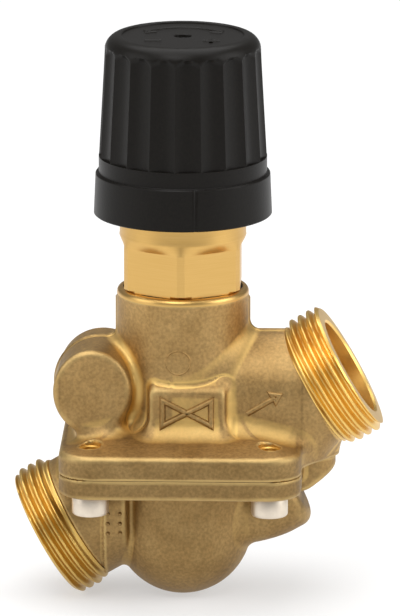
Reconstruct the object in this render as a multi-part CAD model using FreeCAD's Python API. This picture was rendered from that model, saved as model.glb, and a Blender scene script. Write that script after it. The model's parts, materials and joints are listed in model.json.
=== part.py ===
"""Pressure independent control valve: forged two-part body, control insert, regulator and hand cap.

Every piece is modelled around the neck: the neck axis is vertical, the joint plane of the two flanges
is at height 0, and the inclined pipe line crosses the neck axis a little below it. On export the whole
valve is moved so that the origin lies at the centre of the inlet's sealing face.
"""
import FreeCAD, Part

import math
import os

Vector = FreeCAD.Vector
UP = Vector(0, 0, 1)
ACROSS = Vector(0, 1, 0)

# Ports on the pipe line
PIPE_TILT = 30.0
PIPE_DROP = 1.27
INLET_REACH = 30.0
OUTLET_REACH = 37.0
THREAD_R = 13.22
INLET_THREAD = 8.2
OUTLET_THREAD = 8.0
THREAD_CHAMFER = 0.8
UNDERCUT_R = 11.3
UNDERCUT = 1.5
PORT_BORE_R = 9.6
MOUTH_CHAMFER = 0.4
INLET_BORE_DEPTH = 7.0
OUTLET_BORE_DEPTH = 9.0
INLET_ARM_R = 12.3

# Flanges and their screws
FLANGE_SIDE = 46.0
FLANGE_CORNER = 6.5
UPPER_FLANGE = 4.4
LOWER_FLANGE = 3.85
FLANGE_EDGE_ROUND = 0.8
FLANGE_HUMP_OVERLAP = 2.0
FLANGE_SLOPE = 13.0
SCREW_SPACING = 34.0
SCREW_R = 2.0
SCREW_REACH = 3.2
SCREW_HEAD_R = 3.5
SCREW_HEAD = 4.0
SCREW_HEAD_ROUND = 0.4
SOCKET_ACROSS_FLATS = 3.0
SOCKET_DEPTH = 2.0
TAPPED_CLEARANCE = 0.05
TAPPED_RISE = 3.0
THROUGH_CLEARANCE = 0.25

# Upper body
NECK_R = 12.55
NECK_TOP = 32.75
NECK_CHAMFER = 0.9
CHAMBER_R = 10.45
PARTITION_LOW = 7.0
PARTITION_TOP = 10.5
SEAT_RING_WALL = 1.4
MEMBRANE_ROOM_R = 14.0
MEMBRANE_ROOM = 3.4
FUNNEL_R = 9.5
PANEL_LEFT = -6.3
PANEL_RIGHT = 8.7
PANEL_FRONT = 13.7
PANEL_TOP = 16.3
PANEL_ROUND = 1.3
OUTLET_ARM_R = 11.4
OUTLET_ARM_Z = 12.75
ARM_FILLET = 2.0
FOOT_FILLET = 1.8
OUTLET_PASSAGE_R = 5.4
OUTLET_PASSAGE_GAP = 0.15
BOSS_X = -15.5
BOSS_Z = 13.9
BOSS_R = 8.9
BOSS_FRONT = 13.0
BOSS_FRONT_X = -16.95
BOSS_FRONT_Z = 14.7
BOSS_FRONT_R = 7.6
BOSS_BACK = 9.0
BOSS_BACK_R = 8.4
BOSS_EDGE_ROUND = 0.9
EAR_X = 24.6
UPPER_EAR_R = 5.3
LOWER_EAR_R = 4.6
LOWER_EAR_TIP = 2.5
LOWER_EAR_ROOT = 6.7
LOWER_EAR_UNDERCUT = 1.2
DUCT_R = 1.2
DUCT_DRILL_R = 1.0
DUCT_LEVEL = 2.9

# Lower body
DOME_R = 13.2
DOME_DEPTH = 27.5
DOME_FILLET = 1.6
FLOOR = 6.2
REGULATOR_ROOM_R = 11.0
MEMBRANE_SEAT_R = 18.0
MEMBRANE_SEAT = 1.1
INLET_PASSAGE_R = 5.5
INLET_PASSAGE_Z = -13.5
LOBE_R = 6.5
LOBE_END_X = 21.65
LOBE_END_Z = -6.3
LOBE_LENGTH = 22.0
LOBE_LOW = -17.4
LOBE_EDGE_ROUND = 1.5

# Control insert
INSERT_CLEARANCE = 0.05
SHANK = 11.25
HEX_ACROSS_FLATS = 22.0
HEX_CORNER_R = 12.3
HEX_HEIGHT = 8.95
HEX_FOOT_CHAMFER = 0.5
HEX_RUN_OUT_R = 2.0
COLLAR_R = 12.0
COLLAR = 5.9
COLLAR_RISE = 2.4
ACTUATOR_THREAD_R = 15.0
ACTUATOR_THREAD = 6.4
INSERT_TOP_R = 9.2
INSERT_TOP = 4.0
INSERT_WALL = 2.2
CUP_BORE_DEPTH = 7.1
STEM_BORE_R = 5.0
SEAL_SECTION = 0.95
SEAL_POCKET = 1.4

# Spindle, plug and presetting pieces
RUNNING_GAP = 0.1
SPINDLE_R = 1.75
SPINDLE_RISE = 8.0
SPINDLE_CHAMFER = 0.3
STROKE = 2.52
END_GAP = 0.03
SEAT_OVERLAP = 0.1
SEAT_RING_SUNK = 1.5
SEAT_LIP = 0.75
PLUG_GAP = 0.3
PLUG = 3.0
PLUG_CHAMFER = 1.0
PLUG_SEAL = 0.8
PLUG_NUT_ACROSS_FLATS = 4.5
PLUG_NUT = 1.2
CUP_GAP = 0.3
CUP_WALL = 1.3
CUP_FLOOR = 2.5
CUP_FLOOR_GAP = 0.1
WINDOW_WIDTH = 9.0
WINDOW_HEIGHT = 9.0
STEM_R = 4.85
STEM_WALL = 1.55
STEM_RISE = 2.0
SEAL_STEP = 0.3
SEAL_ROOM = 10.5
GLAND_WASHER = 0.6
GLAND_FLANGE_R = 4.6
GLAND_FLANGE = 1.2
SPINDLE_SEAL_FIT = 0.24
DIAL_R = 8.8
DIAL = 1.9
DIAL_NOTCHES = 12
DIAL_NOTCH_R = 0.8
SPINDLE_SPRING_WIRE = 0.35
SPINDLE_SPRING = 14.3
SPINDLE_SPRING_TURNS = 9
CLIP_GAP = 0.2
CLIP = 1.2
CLIP_GROOVE = 0.3
CLIP_FIT = 0.05
CLIP_SLOT = 2.8
SPRING_GAP = 0.05

# Regulator
REGULATOR_TRAVEL = 1.8
THROTTLE_MARGIN = 0.1
THROTTLE_SEAT = 0.8
SLEEVE_R = 7.5
SLEEVE_WALL = 1.5
SLEEVE_THROAT_STEP = 1.8
SLEEVE_SHOULDER = 1.2
SLEEVE_FLANGE_GAP = 1.5
SLEEVE_FLANGE = 1.05
MEMBRANE = 1.0
MEMBRANE_ARCH_IN = 9.9
MEMBRANE_ARCH_OUT = 13.5
MEMBRANE_ARCH = 1.5
MEMBRANE_PLATE_STEP = 0.2
MEMBRANE_PLATE = 1.2
MEMBRANE_NUT_STEP = 0.4
MEMBRANE_NUT_WALL = 2.0
MEMBRANE_NUT = 1.9
SLEEVE_FIT = 0.05
GUIDE_TOP = -4.2
GUIDE = 2.3
GUIDE_FIT = 0.05
SLEEVE_SEAL_WIRE = 0.6
REGULATOR_SPRING_GAP = 1.0
REGULATOR_SPRING_WIRE = 0.6
REGULATOR_SPRING_TURNS = 5
DUCT_SEAL_R = 2.0
DUCT_SEAL_WIRE = 0.42
DUCT_SEAL_ROOM_R = 2.55
DUCT_SEAL_ROOM = 0.9

# Hand cap
CAP_R = 17.0
CAP_COLLAR_TOP_R = 16.6
CAP_COLLAR = 8.05
CAP_BAND_R = 16.0
CAP_BAND = 3.2
CAP_SHOULDER_R = 14.8
CAP_FLUTED = 21.85
CAP_SHOULDER = 1.5
CAP_RIM_R = 12.4
CAP_DISC_R = 11.6
CAP_DISC_SUNK = 0.3
CAP_UNDER_COLLAR = 0.6
CAP_BORE_GAP = 0.25
CAP_BORE = 9.8
CAP_WALL = 2.4
CAP_ROOF = 2.7
CAP_BOSS_R = 3.4
CAP_BOSS = 9.0
FLUTES = 20
FIRST_RIDGE = -78.4
FLUTE_R = 3.6
FLUTE_DEPTH = 0.75
THRUST_PIN_R = 1.6
THRUST_PIN_SUNK = 0.6

# Room for cutting shapes, and slack for finding edges
OVERCUT = 1.0
FAR = 100.0
SLACK = 0.01

# Levels on the neck axis that several pieces share
TILT = math.radians(PIPE_TILT)
ALONG = Vector(math.cos(TILT), 0, math.sin(TILT))
PIPE_POINT = Vector(0, 0, -PIPE_DROP)
INLET_ROOT = INLET_REACH - INLET_THREAD - UNDERCUT
OUTLET_BEND = Vector((OUTLET_ARM_Z + PIPE_DROP) / math.tan(TILT), 0, OUTLET_ARM_Z)
OUTLET_BEND_REACH = (OUTLET_BEND - PIPE_POINT).dot(ALONG)
HALF_FLANGE = FLANGE_SIDE / 2
HALF_SCREWS = SCREW_SPACING / 2
SCREW_PLACES = [(x, y) for x in (-HALF_SCREWS, HALF_SCREWS) for y in (-HALF_SCREWS, HALF_SCREWS)]
DOME_CENTRE = DOME_R - DOME_DEPTH
FLOOR_Z = FLOOR - DOME_DEPTH
HEX_TOP = NECK_TOP + HEX_HEIGHT
COLLAR_TOP = HEX_TOP + COLLAR
ACTUATOR_TOP = COLLAR_TOP + ACTUATOR_THREAD
INSERT_END = ACTUATOR_TOP + INSERT_TOP
SHANK_R = CHAMBER_R - INSERT_CLEARANCE
SEAL_POCKET_R = CHAMBER_R + SEAL_SECTION
CUP_BORE_R = SHANK_R - INSERT_WALL
CUP_R = CUP_BORE_R - CUP_GAP
PLUG_R = CUP_R - CUP_WALL - PLUG_GAP
SEAT_RING_R = PLUG_R + SEAT_OVERLAP
SEAT_HOLE_R = SEAT_RING_R - SEAT_RING_WALL
SHANK_LOW = NECK_TOP - SHANK
CUP_ROOM_TOP = SHANK_LOW + CUP_BORE_DEPTH
LIP_TOP = PARTITION_TOP + SEAT_LIP
PLUG_SEAL_LOW = LIP_TOP + STROKE + END_GAP
PLUG_LOW = PLUG_SEAL_LOW + PLUG_SEAL
CUP_LOW = PARTITION_TOP + RUNNING_GAP
CUP_TOP = CUP_ROOM_TOP - CUP_FLOOR_GAP
CUP_ROOF = CUP_TOP - CUP_FLOOR
STEM_TOP = INSERT_END + STEM_RISE
SPINDLE_HOLE_R = SPINDLE_R + RUNNING_GAP
STEM_INNER_R = STEM_R - STEM_WALL
SEAL_ROOM_R = STEM_INNER_R + SEAL_STEP
SPINDLE_SEAL_WIRE = (SEAL_ROOM_R - SPINDLE_R - RUNNING_GAP / 2 - SPINDLE_SEAL_FIT) / 2
SPINDLE_SPRING_R = (SPINDLE_R + STEM_INNER_R) / 2
CLIP_R = STEM_INNER_R - CLIP_GAP
SEAL_ROOM_LOW = STEM_TOP - SEAL_ROOM
SPINDLE_SPRING_LOW = CUP_TOP + SPRING_GAP
CLIP_LOW = SPINDLE_SPRING_LOW + SPINDLE_SPRING + SPRING_GAP
SPINDLE_TOP = INSERT_END + SPINDLE_RISE
THROTTLE_TOP = FLOOR_Z + THROTTLE_SEAT
SLEEVE_LOW = THROTTLE_TOP + REGULATOR_TRAVEL + END_GAP
MEMBRANE_LOW = -MEMBRANE_SEAT + SLEEVE_FIT
MEMBRANE_TOP = MEMBRANE_LOW + MEMBRANE
SLEEVE_FLANGE_TOP = MEMBRANE_LOW - SLEEVE_FIT
SLEEVE_FLANGE_LOW = SLEEVE_FLANGE_TOP - SLEEVE_FLANGE
PLATE_LOW = MEMBRANE_TOP + SLEEVE_FIT
PLATE_TOP = PLATE_LOW + MEMBRANE_PLATE
NUT_TOP = PLATE_TOP + MEMBRANE_NUT
SLEEVE_INNER_R = SLEEVE_R - SLEEVE_WALL
SLEEVE_THROAT_R = SLEEVE_INNER_R - SLEEVE_THROAT_STEP
SLEEVE_FLANGE_R = REGULATOR_ROOM_R - SLEEVE_FLANGE_GAP
MEMBRANE_PLATE_R = SLEEVE_FLANGE_R - MEMBRANE_PLATE_STEP
MEMBRANE_NUT_R = MEMBRANE_PLATE_R - MEMBRANE_NUT_STEP
SLEEVE_NECK_R = MEMBRANE_NUT_R - MEMBRANE_NUT_WALL
BOWL_FLOOR_R = math.sqrt(REGULATOR_ROOM_R ** 2 - (FLOOR_Z - DOME_CENTRE) ** 2)
THROTTLE_SEAT_R = min(SLEEVE_R + THROTTLE_MARGIN, BOWL_FLOOR_R)
REGULATOR_SPRING_R = SLEEVE_INNER_R - REGULATOR_SPRING_GAP
SLEEVE_SHOULDER_LOW = SLEEVE_FLANGE_LOW - SLEEVE_SHOULDER
CAP_LOW = COLLAR_TOP - CAP_UNDER_COLLAR
CAP_COLLAR_TOP = CAP_LOW + CAP_COLLAR
CAP_BAND_TOP = CAP_COLLAR_TOP + CAP_BAND
CAP_FLUTE_TOP = CAP_BAND_TOP + CAP_FLUTED
CAP_TOP = CAP_FLUTE_TOP + CAP_SHOULDER
NECK_FOOT = ALONG * INLET_REACH - PIPE_POINT


def turned(*outline):
    """Solid of revolution about the neck axis from (radius, height) corners."""
    corners = [Vector(r, 0, z) for r, z in outline]
    return Part.Face(Part.makePolygon(corners + corners[:1])).revolve(Vector(), UP, 360)


def disc(radius, low, high):
    return Part.makeCylinder(radius, high - low, Vector(0, 0, low))


def ring(inner, outer, low, high):
    return turned((inner, low), (outer, low), (outer, high), (inner, high))


def edges_at(shape, height):
    """Edges that lie level at one height."""
    return [e for e in shape.Edges if abs(e.BoundBox.ZMin - height) < SLACK and e.BoundBox.ZLength < SLACK]


def pipe_rod(radius, start, end):
    """Cylinder on the pipe line between two distances from the neck axis."""
    return Part.makeCylinder(radius, end - start, PIPE_POINT + ALONG * start, ALONG)


def rod_x(radius, start, end, height):
    return Part.makeCylinder(radius, end - start, Vector(start, 0, height), Vector(1, 0, 0))


def level_slab(low, high):
    """Everything between two heights."""
    return Part.makeBox(2 * FAR, 2 * FAR, high - low, Vector(-FAR, -FAR, low))


def side_slab(half_depth, *outline):
    """Prism across the valve from (x, z) corners of its side view."""
    corners = [Vector(x, -half_depth, z) for x, z in outline]
    return Part.Face(Part.makePolygon(corners + corners[:1])).extrude(ACROSS * (2 * half_depth))


def rounded_square(half, corner, height):
    """Closed wire of a square with round corners, in a level plane."""
    edges = []
    flat = half - corner
    for quarter in range(4):
        turn = FreeCAD.Rotation(UP, 90 * quarter)
        place = Vector(0, 0, height)
        middle = Vector(flat + corner * math.sqrt(0.5), flat + corner * math.sqrt(0.5), 0)
        points = [Vector(half, -flat, 0), Vector(half, flat, 0), middle, Vector(flat, half, 0)]
        side_start, side_end, bend, bend_end = [turn.multVec(p) + place for p in points]
        edges.append(Part.LineSegment(side_start, side_end).toShape())
        edges.append(Part.Arc(side_end, bend, bend_end).toShape())
    return Part.Wire(edges)


def plate(low, high):
    """Square flange plate with round corners."""
    face = Part.Face(rounded_square(HALF_FLANGE, FLANGE_CORNER, low))
    return face.extrude(UP * (high - low))


def hexagon(across_flats, low, high, first_corner):
    """Hexagonal prism on the neck axis, with one corner at the given angle."""
    corner_r = across_flats / math.sqrt(3)
    corners = []
    for k in range(7):
        angle = math.radians(first_corner + 60 * k)
        corners.append(Vector(corner_r * math.cos(angle), corner_r * math.sin(angle), low))
    return Part.Face(Part.makePolygon(corners)).extrude(UP * (high - low))


def coil_spring(mean_r, wire_r, low, high, turns):
    """Round-wire compression spring between two levels."""
    rise = high - low - 2 * wire_r
    helix = Part.makeHelix(rise / turns, rise, mean_r)
    helix.translate(Vector(0, 0, low + wire_r))
    section = Part.Wire(Part.makeCircle(wire_r, Vector(mean_r, 0, low + wire_r), ACROSS))
    return Part.Solid(Part.Wire(helix).makePipeShell([section], True, True))


def torus(mean_r, wire_r, height):
    return Part.makeTorus(mean_r, wire_r, Vector(0, 0, height))


def at_screws(shape):
    """Copies of a piece on the neck axis, moved to the four screw places."""
    return [shape.translated(Vector(x, y, 0)) for x, y in SCREW_PLACES]


def ear(radius, low, high):
    """Round lug on the joint plane that carries the pressure duct."""
    lug = Part.makeCylinder(radius, high - low, Vector(EAR_X, 0, low))
    root = Part.makeBox(EAR_X, 2 * radius, high - low, Vector(0, -radius, low))
    return lug.fuse(root)


def port_end(root, reach, thread, side):
    """Threaded end of a port as plain cylinders: undercut, thread crest and chamfer."""
    outward = ALONG * side
    crest_start = PIPE_POINT + outward * (reach - thread)
    chamfer_start = PIPE_POINT + outward * (reach - THREAD_CHAMFER)
    base = Part.makeCylinder(UNDERCUT_R, reach - root, PIPE_POINT + outward * root, outward)
    crest = Part.makeCylinder(THREAD_R, thread - THREAD_CHAMFER, crest_start, outward)
    chamfer = Part.makeCone(THREAD_R, THREAD_R - THREAD_CHAMFER, THREAD_CHAMFER, chamfer_start, outward)
    return base.fuse([crest, chamfer])


def port_bore(reach, depth, side, overrun):
    """Round mouth of a port with a chamfered edge, cut from beyond its face."""
    outward = ALONG * side
    face = PIPE_POINT + outward * reach
    bore = Part.makeCylinder(PORT_BORE_R, depth + overrun, face - outward * depth, outward)
    chamfer = Part.makeCone(PORT_BORE_R, PORT_BORE_R + 2 * MOUTH_CHAMFER, 2 * MOUTH_CHAMFER,
                            face - outward * MOUTH_CHAMFER, outward)
    return bore.fuse(chamfer)


def upper_flange():
    """Square flange whose top slopes up from a rounded edge to the neck."""
    inner_half = NECK_R - FLANGE_HUMP_OVERLAP
    rise = (HALF_FLANGE - inner_half) * math.tan(math.radians(FLANGE_SLOPE))
    low = rounded_square(HALF_FLANGE, FLANGE_CORNER, UPPER_FLANGE)
    high = rounded_square(inner_half, FLANGE_CORNER, UPPER_FLANGE + rise)
    flange = plate(0, UPPER_FLANGE).fuse(Part.makeLoft([low, high], True, True)).removeSplitter()
    return flange.makeFillet(FLANGE_EDGE_ROUND, edges_at(flange, UPPER_FLANGE))


def outlet_arm():
    """Round arm that leaves the neck level and bends up into the pipe line."""
    level = rod_x(OUTLET_ARM_R, 0, OUTLET_BEND.x, OUTLET_ARM_Z)
    elbow = Part.makeSphere(OUTLET_ARM_R, OUTLET_BEND, ALONG)
    return level.fuse(elbow).common(level_slab(0, FAR))


def neck_with_arm():
    """Neck with a chamfered top and the outlet's arm blended into its side."""
    neck = disc(NECK_R, 0, NECK_TOP)
    neck = neck.makeChamfer(NECK_CHAMFER, edges_at(neck, NECK_TOP))
    joined = neck.fuse(outlet_arm()).removeSplitter()
    on_neck = [e for e in joined.Edges if e.BoundBox.XMax < NECK_R + SLACK]
    return joined.makeFillet(ARM_FILLET, [e for e in on_neck if e.BoundBox.ZLength > OUTLET_ARM_R])


def neck_on_flange():
    """Neck and arm standing on the sloping flange, with a forged fillet round their foot."""
    joined = upper_flange().fuse(neck_with_arm()).removeSplitter()
    low = UPPER_FLANGE + FLANGE_EDGE_ROUND
    foot = [e for e in joined.Edges if e.BoundBox.ZMin > low and e.BoundBox.ZMax < OUTLET_ARM_Z]
    return joined.makeFillet(FOOT_FILLET, foot)


def side_boss():
    """Drafted test-point boss, left unmachined, with flat ends in front and behind."""
    middle = Part.Wire(Part.makeCircle(BOSS_R, Vector(BOSS_X, 0, BOSS_Z), ACROSS))
    front = Part.Wire(Part.makeCircle(BOSS_FRONT_R, Vector(BOSS_FRONT_X, -BOSS_FRONT, BOSS_FRONT_Z), ACROSS))
    back = Part.Wire(Part.makeCircle(BOSS_BACK_R, Vector(BOSS_X, BOSS_BACK, BOSS_Z), ACROSS))
    boss = Part.makeLoft([front, middle, back], True, True)
    rims = [e for e in boss.Edges if e.BoundBox.YLength < SLACK and abs(e.BoundBox.YMin) > SLACK]
    return boss.makeFillet(BOSS_EDGE_ROUND, rims)


def marking_panel():
    """Flat pad on the front of the neck's foot, with round upper corners."""
    size = Vector(PANEL_RIGHT - PANEL_LEFT, PANEL_FRONT, PANEL_TOP)
    panel = Part.makeBox(size.x, size.y, size.z, Vector(PANEL_LEFT, -PANEL_FRONT, 0))
    corners = [e for e in edges_at(panel, PANEL_TOP) if e.BoundBox.XLength < SLACK]
    return panel.makeFillet(PANEL_ROUND, corners)


def upper_body():
    """Forged upper body: flange, neck, panel, boss, ear and outlet, then its machined rooms."""
    forging = neck_on_flange().fuse([
        marking_panel(),
        port_end(OUTLET_BEND_REACH, OUTLET_REACH, OUTLET_THREAD, 1),
        side_boss(),
        ear(UPPER_EAR_R, 0, UPPER_FLANGE),
    ]).removeSplitter()
    return forging.cut(upper_rooms())


def upper_rooms():
    """Everything machined out of the upper forging."""
    passage_z = PARTITION_TOP + OUTLET_PASSAGE_R
    tapped = at_screws(disc(SCREW_R + TAPPED_CLEARANCE, -OVERCUT, UPPER_FLANGE + TAPPED_RISE))
    return [
        disc(CHAMBER_R, PARTITION_TOP, NECK_TOP + OVERCUT),
        disc(SEAL_POCKET_R, NECK_TOP - SEAL_POCKET, NECK_TOP + OVERCUT),
        disc(SEAT_HOLE_R, 0, PARTITION_TOP + OVERCUT),
        disc(SEAT_RING_R + INSERT_CLEARANCE, PARTITION_TOP - SEAT_RING_SUNK, PARTITION_TOP + OVERCUT),
        turned((0, -OVERCUT), (MEMBRANE_ROOM_R, -OVERCUT), (MEMBRANE_ROOM_R, MEMBRANE_ROOM),
               (FUNNEL_R, PARTITION_LOW), (0, PARTITION_LOW)),
        port_bore(OUTLET_REACH, OUTLET_BORE_DEPTH, 1, OUTLET_ARM_R),
        rod_x(OUTLET_PASSAGE_R, 0, OUTLET_REACH * ALONG.x, passage_z + OUTLET_PASSAGE_GAP),
        Part.makeCylinder(DUCT_R, passage_z, Vector(EAR_X, 0, -OVERCUT)),
    ] + tapped


def lower_ear():
    """Lug under the joint plane, with its underside running down to the dome."""
    tip = EAR_X + LOWER_EAR_R
    side = side_slab(LOWER_EAR_R, (0, 0), (tip, 0), (tip, -LOWER_EAR_TIP),
                     (EAR_X - LOWER_EAR_UNDERCUT, -LOWER_EAR_ROOT), (0, -LOWER_EAR_ROOT))
    return side.common(ear(LOWER_EAR_R, -LOWER_EAR_ROOT, 0))


def flange_with_dome():
    """Lower flange with a rounded lower edge, blended into the dome under it."""
    flange = plate(-LOWER_FLANGE, 0)
    flange = flange.makeFillet(FLANGE_EDGE_ROUND, edges_at(flange, -LOWER_FLANGE))
    dome = disc(DOME_R, DOME_CENTRE, 0).fuse(Part.makeSphere(DOME_R, Vector(0, 0, DOME_CENTRE)))
    joined = flange.fuse(dome).removeSplitter()
    meeting = [e for e in edges_at(joined, -LOWER_FLANGE) if abs(e.BoundBox.XMax - DOME_R) < SLACK]
    return joined.makeFillet(DOME_FILLET, meeting)


def inclined_lobe():
    """Round-ended lobe beside the dome, flat underneath."""
    end = Vector(LOBE_END_X, 0, LOBE_END_Z)
    lobe = Part.makeCylinder(LOBE_R, LOBE_LENGTH, end - ALONG * LOBE_LENGTH, ALONG)
    outer_rim = [e for e in lobe.Edges if e.BoundBox.ZLength > SLACK and e.BoundBox.XMin > 0 and e.Closed]
    return lobe.makeFillet(LOBE_EDGE_ROUND, outer_rim).common(level_slab(LOBE_LOW, 0))


def lower_body():
    """Forged lower body: flange, dome, inlet, inclined lobe and ear, then its machined rooms."""
    forging = flange_with_dome().fuse([
        pipe_rod(INLET_ARM_R, -INLET_ROOT, 0).common(level_slab(-FAR, 0)),
        port_end(INLET_ROOT, INLET_REACH, INLET_THREAD, -1),
        inclined_lobe(),
        lower_ear(),
    ]).removeSplitter()
    return forging.cut(lower_rooms())


def lower_rooms():
    """Everything machined out of the lower forging."""
    room = disc(REGULATOR_ROOM_R, DOME_CENTRE, OVERCUT)
    bowl = Part.makeSphere(REGULATOR_ROOM_R, Vector(0, 0, DOME_CENTRE))
    above_floor = disc(2 * DOME_R, FLOOR_Z, OVERCUT)
    through = at_screws(disc(SCREW_R + THROUGH_CLEARANCE, -2 * LOWER_FLANGE, OVERCUT))
    return [
        room,
        bowl.common(above_floor),
        disc(MEMBRANE_SEAT_R, -MEMBRANE_SEAT, OVERCUT),
        port_bore(INLET_REACH, INLET_BORE_DEPTH, -1, OVERCUT),
        rod_x(INLET_PASSAGE_R, -INLET_REACH * ALONG.x, 0, INLET_PASSAGE_Z),
        rod_x(DUCT_DRILL_R, 0, EAR_X, -DUCT_LEVEL),
        Part.makeCylinder(DUCT_R, DUCT_LEVEL + OVERCUT, Vector(EAR_X, 0, -DUCT_LEVEL)),
        Part.makeCylinder(DUCT_SEAL_ROOM_R, OVERCUT + DUCT_SEAL_ROOM, Vector(EAR_X, 0, -DUCT_SEAL_ROOM)),
    ] + through


def flange_screws():
    """Four socket-head screws, put in from below."""
    head_low = -LOWER_FLANGE - SCREW_HEAD
    head = disc(SCREW_HEAD_R, head_low, -LOWER_FLANGE)
    head = head.makeFillet(SCREW_HEAD_ROUND, edges_at(head, head_low))
    screw = head.fuse(disc(SCREW_R, -LOWER_FLANGE - OVERCUT, SCREW_REACH)).removeSplitter()
    screw = screw.cut(hexagon(SOCKET_ACROSS_FLATS, head_low - OVERCUT, head_low + SOCKET_DEPTH, 0))
    return Part.makeCompound(at_screws(screw))


def hexagon_cuts():
    """Six milled flats on the insert's bar, each running out in an arc under the collar."""
    flat = HEX_ACROSS_FLATS / 2
    wide = 2 * HEX_CORNER_R
    side = Part.makeBox(HEX_CORNER_R, wide, HEX_HEIGHT + OVERCUT, Vector(flat, -wide / 2, NECK_TOP - OVERCUT))
    run_out = Part.makeCylinder(HEX_RUN_OUT_R, wide, Vector(flat + HEX_RUN_OUT_R, -wide / 2, HEX_TOP), ACROSS)
    cuts = []
    for k in range(6):
        cut = side.fuse(run_out)
        cut.rotate(Vector(), UP, 60 * k)
        cuts.append(cut)
    return cuts


def insert_housing():
    """Brass insert: shank in the neck, hexagon, collar and the thread for an actuator."""
    bar = turned((0, SHANK_LOW), (SHANK_R, SHANK_LOW), (SHANK_R, NECK_TOP),
                 (HEX_CORNER_R - HEX_FOOT_CHAMFER, NECK_TOP), (HEX_CORNER_R, NECK_TOP + HEX_FOOT_CHAMFER),
                 (HEX_CORNER_R, HEX_TOP),
                 (COLLAR_R, HEX_TOP + COLLAR_RISE), (COLLAR_R, COLLAR_TOP), (ACTUATOR_THREAD_R, COLLAR_TOP),
                 (ACTUATOR_THREAD_R, ACTUATOR_TOP), (INSERT_TOP_R, ACTUATOR_TOP), (INSERT_TOP_R, INSERT_END),
                 (0, INSERT_END))
    cup_bore = disc(CUP_BORE_R, SHANK_LOW - OVERCUT, CUP_ROOM_TOP)
    stem_bore = disc(STEM_BORE_R, CUP_ROOM_TOP, INSERT_END + OVERCUT)
    return bar.cut(hexagon_cuts() + [cup_bore, stem_bore])


def insert_seal():
    wire = (SEAL_POCKET_R - SHANK_R) / 2 - INSERT_CLEARANCE
    return torus(SHANK_R + INSERT_CLEARANCE + wire, wire, NECK_TOP - INSERT_CLEARANCE - wire)


def seat_ring():
    return ring(SEAT_HOLE_R, SEAT_RING_R, PARTITION_TOP - SEAT_RING_SUNK, LIP_TOP)


def preset_sleeve():
    """Turning sleeve: a cup with a window round the seat, and a stem up through the insert."""
    cup = turned((CUP_R - CUP_WALL, CUP_LOW), (CUP_R, CUP_LOW), (CUP_R, CUP_TOP), (STEM_R, CUP_TOP),
                 (STEM_R, STEM_TOP), (SEAL_ROOM_R, STEM_TOP), (SEAL_ROOM_R, SEAL_ROOM_LOW),
                 (STEM_INNER_R, SEAL_ROOM_LOW), (STEM_INNER_R, CUP_TOP), (SPINDLE_HOLE_R, CUP_TOP),
                 (SPINDLE_HOLE_R, CUP_ROOF), (CUP_R - CUP_WALL, CUP_ROOF))
    window = Part.makeBox(2 * CUP_R, WINDOW_WIDTH, WINDOW_HEIGHT, Vector(0, -WINDOW_WIDTH / 2, LIP_TOP))
    return cup.cut(window)


def preset_dial():
    """Notched ring on the stem for setting the sleeve by hand."""
    dial = ring(STEM_R + INSERT_CLEARANCE, DIAL_R, STEM_TOP - DIAL, STEM_TOP)
    notches = []
    for k in range(DIAL_NOTCHES):
        angle = 2 * math.pi * k / DIAL_NOTCHES
        place = Vector(DIAL_R * math.cos(angle), DIAL_R * math.sin(angle), STEM_TOP - DIAL - OVERCUT)
        notches.append(Part.makeCylinder(DIAL_NOTCH_R, DIAL + 2 * OVERCUT, place))
    return dial.cut(notches)


def gland_nut():
    """Nut that closes the spindle seal, screwed into the stem."""
    thread_r = SEAL_ROOM_R - INSERT_CLEARANCE
    low = SEAL_ROOM_LOW + GLAND_WASHER + 2 * SPINDLE_SEAL_WIRE + 2 * RUNNING_GAP
    return turned((SPINDLE_HOLE_R, low), (thread_r, low), (thread_r, STEM_TOP), (GLAND_FLANGE_R, STEM_TOP),
                  (GLAND_FLANGE_R, STEM_TOP + GLAND_FLANGE), (SPINDLE_HOLE_R, STEM_TOP + GLAND_FLANGE))


def gland_washer():
    return ring(SPINDLE_HOLE_R, SEAL_ROOM_R - INSERT_CLEARANCE, SEAL_ROOM_LOW, SEAL_ROOM_LOW + GLAND_WASHER)


def spindle_seal():
    mean_r = SPINDLE_R + RUNNING_GAP / 2 + SPINDLE_SEAL_WIRE
    return torus(mean_r, SPINDLE_SEAL_WIRE, SEAL_ROOM_LOW + GLAND_WASHER + RUNNING_GAP + SPINDLE_SEAL_WIRE)


def spindle():
    """Plain stem with a groove for its clip and a chamfered upper end."""
    stem = disc(SPINDLE_R, PLUG_SEAL_LOW - PLUG_NUT, SPINDLE_TOP)
    groove = ring(SPINDLE_R - CLIP_GROOVE, SPINDLE_R + OVERCUT, CLIP_LOW, CLIP_LOW + CLIP)
    return stem.makeChamfer(SPINDLE_CHAMFER, edges_at(stem, SPINDLE_TOP)).cut(groove)


def control_plug():
    top = PLUG_LOW + PLUG
    plug = disc(PLUG_R, PLUG_LOW, top)
    plug = plug.makeChamfer(PLUG_CHAMFER, edges_at(plug, top))
    return plug.cut(disc(SPINDLE_R, PLUG_LOW - OVERCUT, top + OVERCUT))


def plug_seal():
    return ring(SPINDLE_R, PLUG_R - RUNNING_GAP, PLUG_SEAL_LOW, PLUG_LOW)


def plug_nut():
    nut = hexagon(PLUG_NUT_ACROSS_FLATS, PLUG_SEAL_LOW - PLUG_NUT, PLUG_SEAL_LOW, 0)
    return nut.cut(disc(SPINDLE_R, 0, PLUG_LOW))


def spindle_clip():
    """Slotted clip that the spindle spring pushes up."""
    clip = ring(SPINDLE_R - CLIP_GROOVE + CLIP_FIT, CLIP_R, CLIP_LOW, CLIP_LOW + CLIP)
    slot = Part.makeBox(2 * CLIP_R, CLIP_SLOT, 2 * CLIP, Vector(0, -CLIP_SLOT / 2, CLIP_LOW - CLIP / 2))
    return clip.cut(slot)


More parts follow.
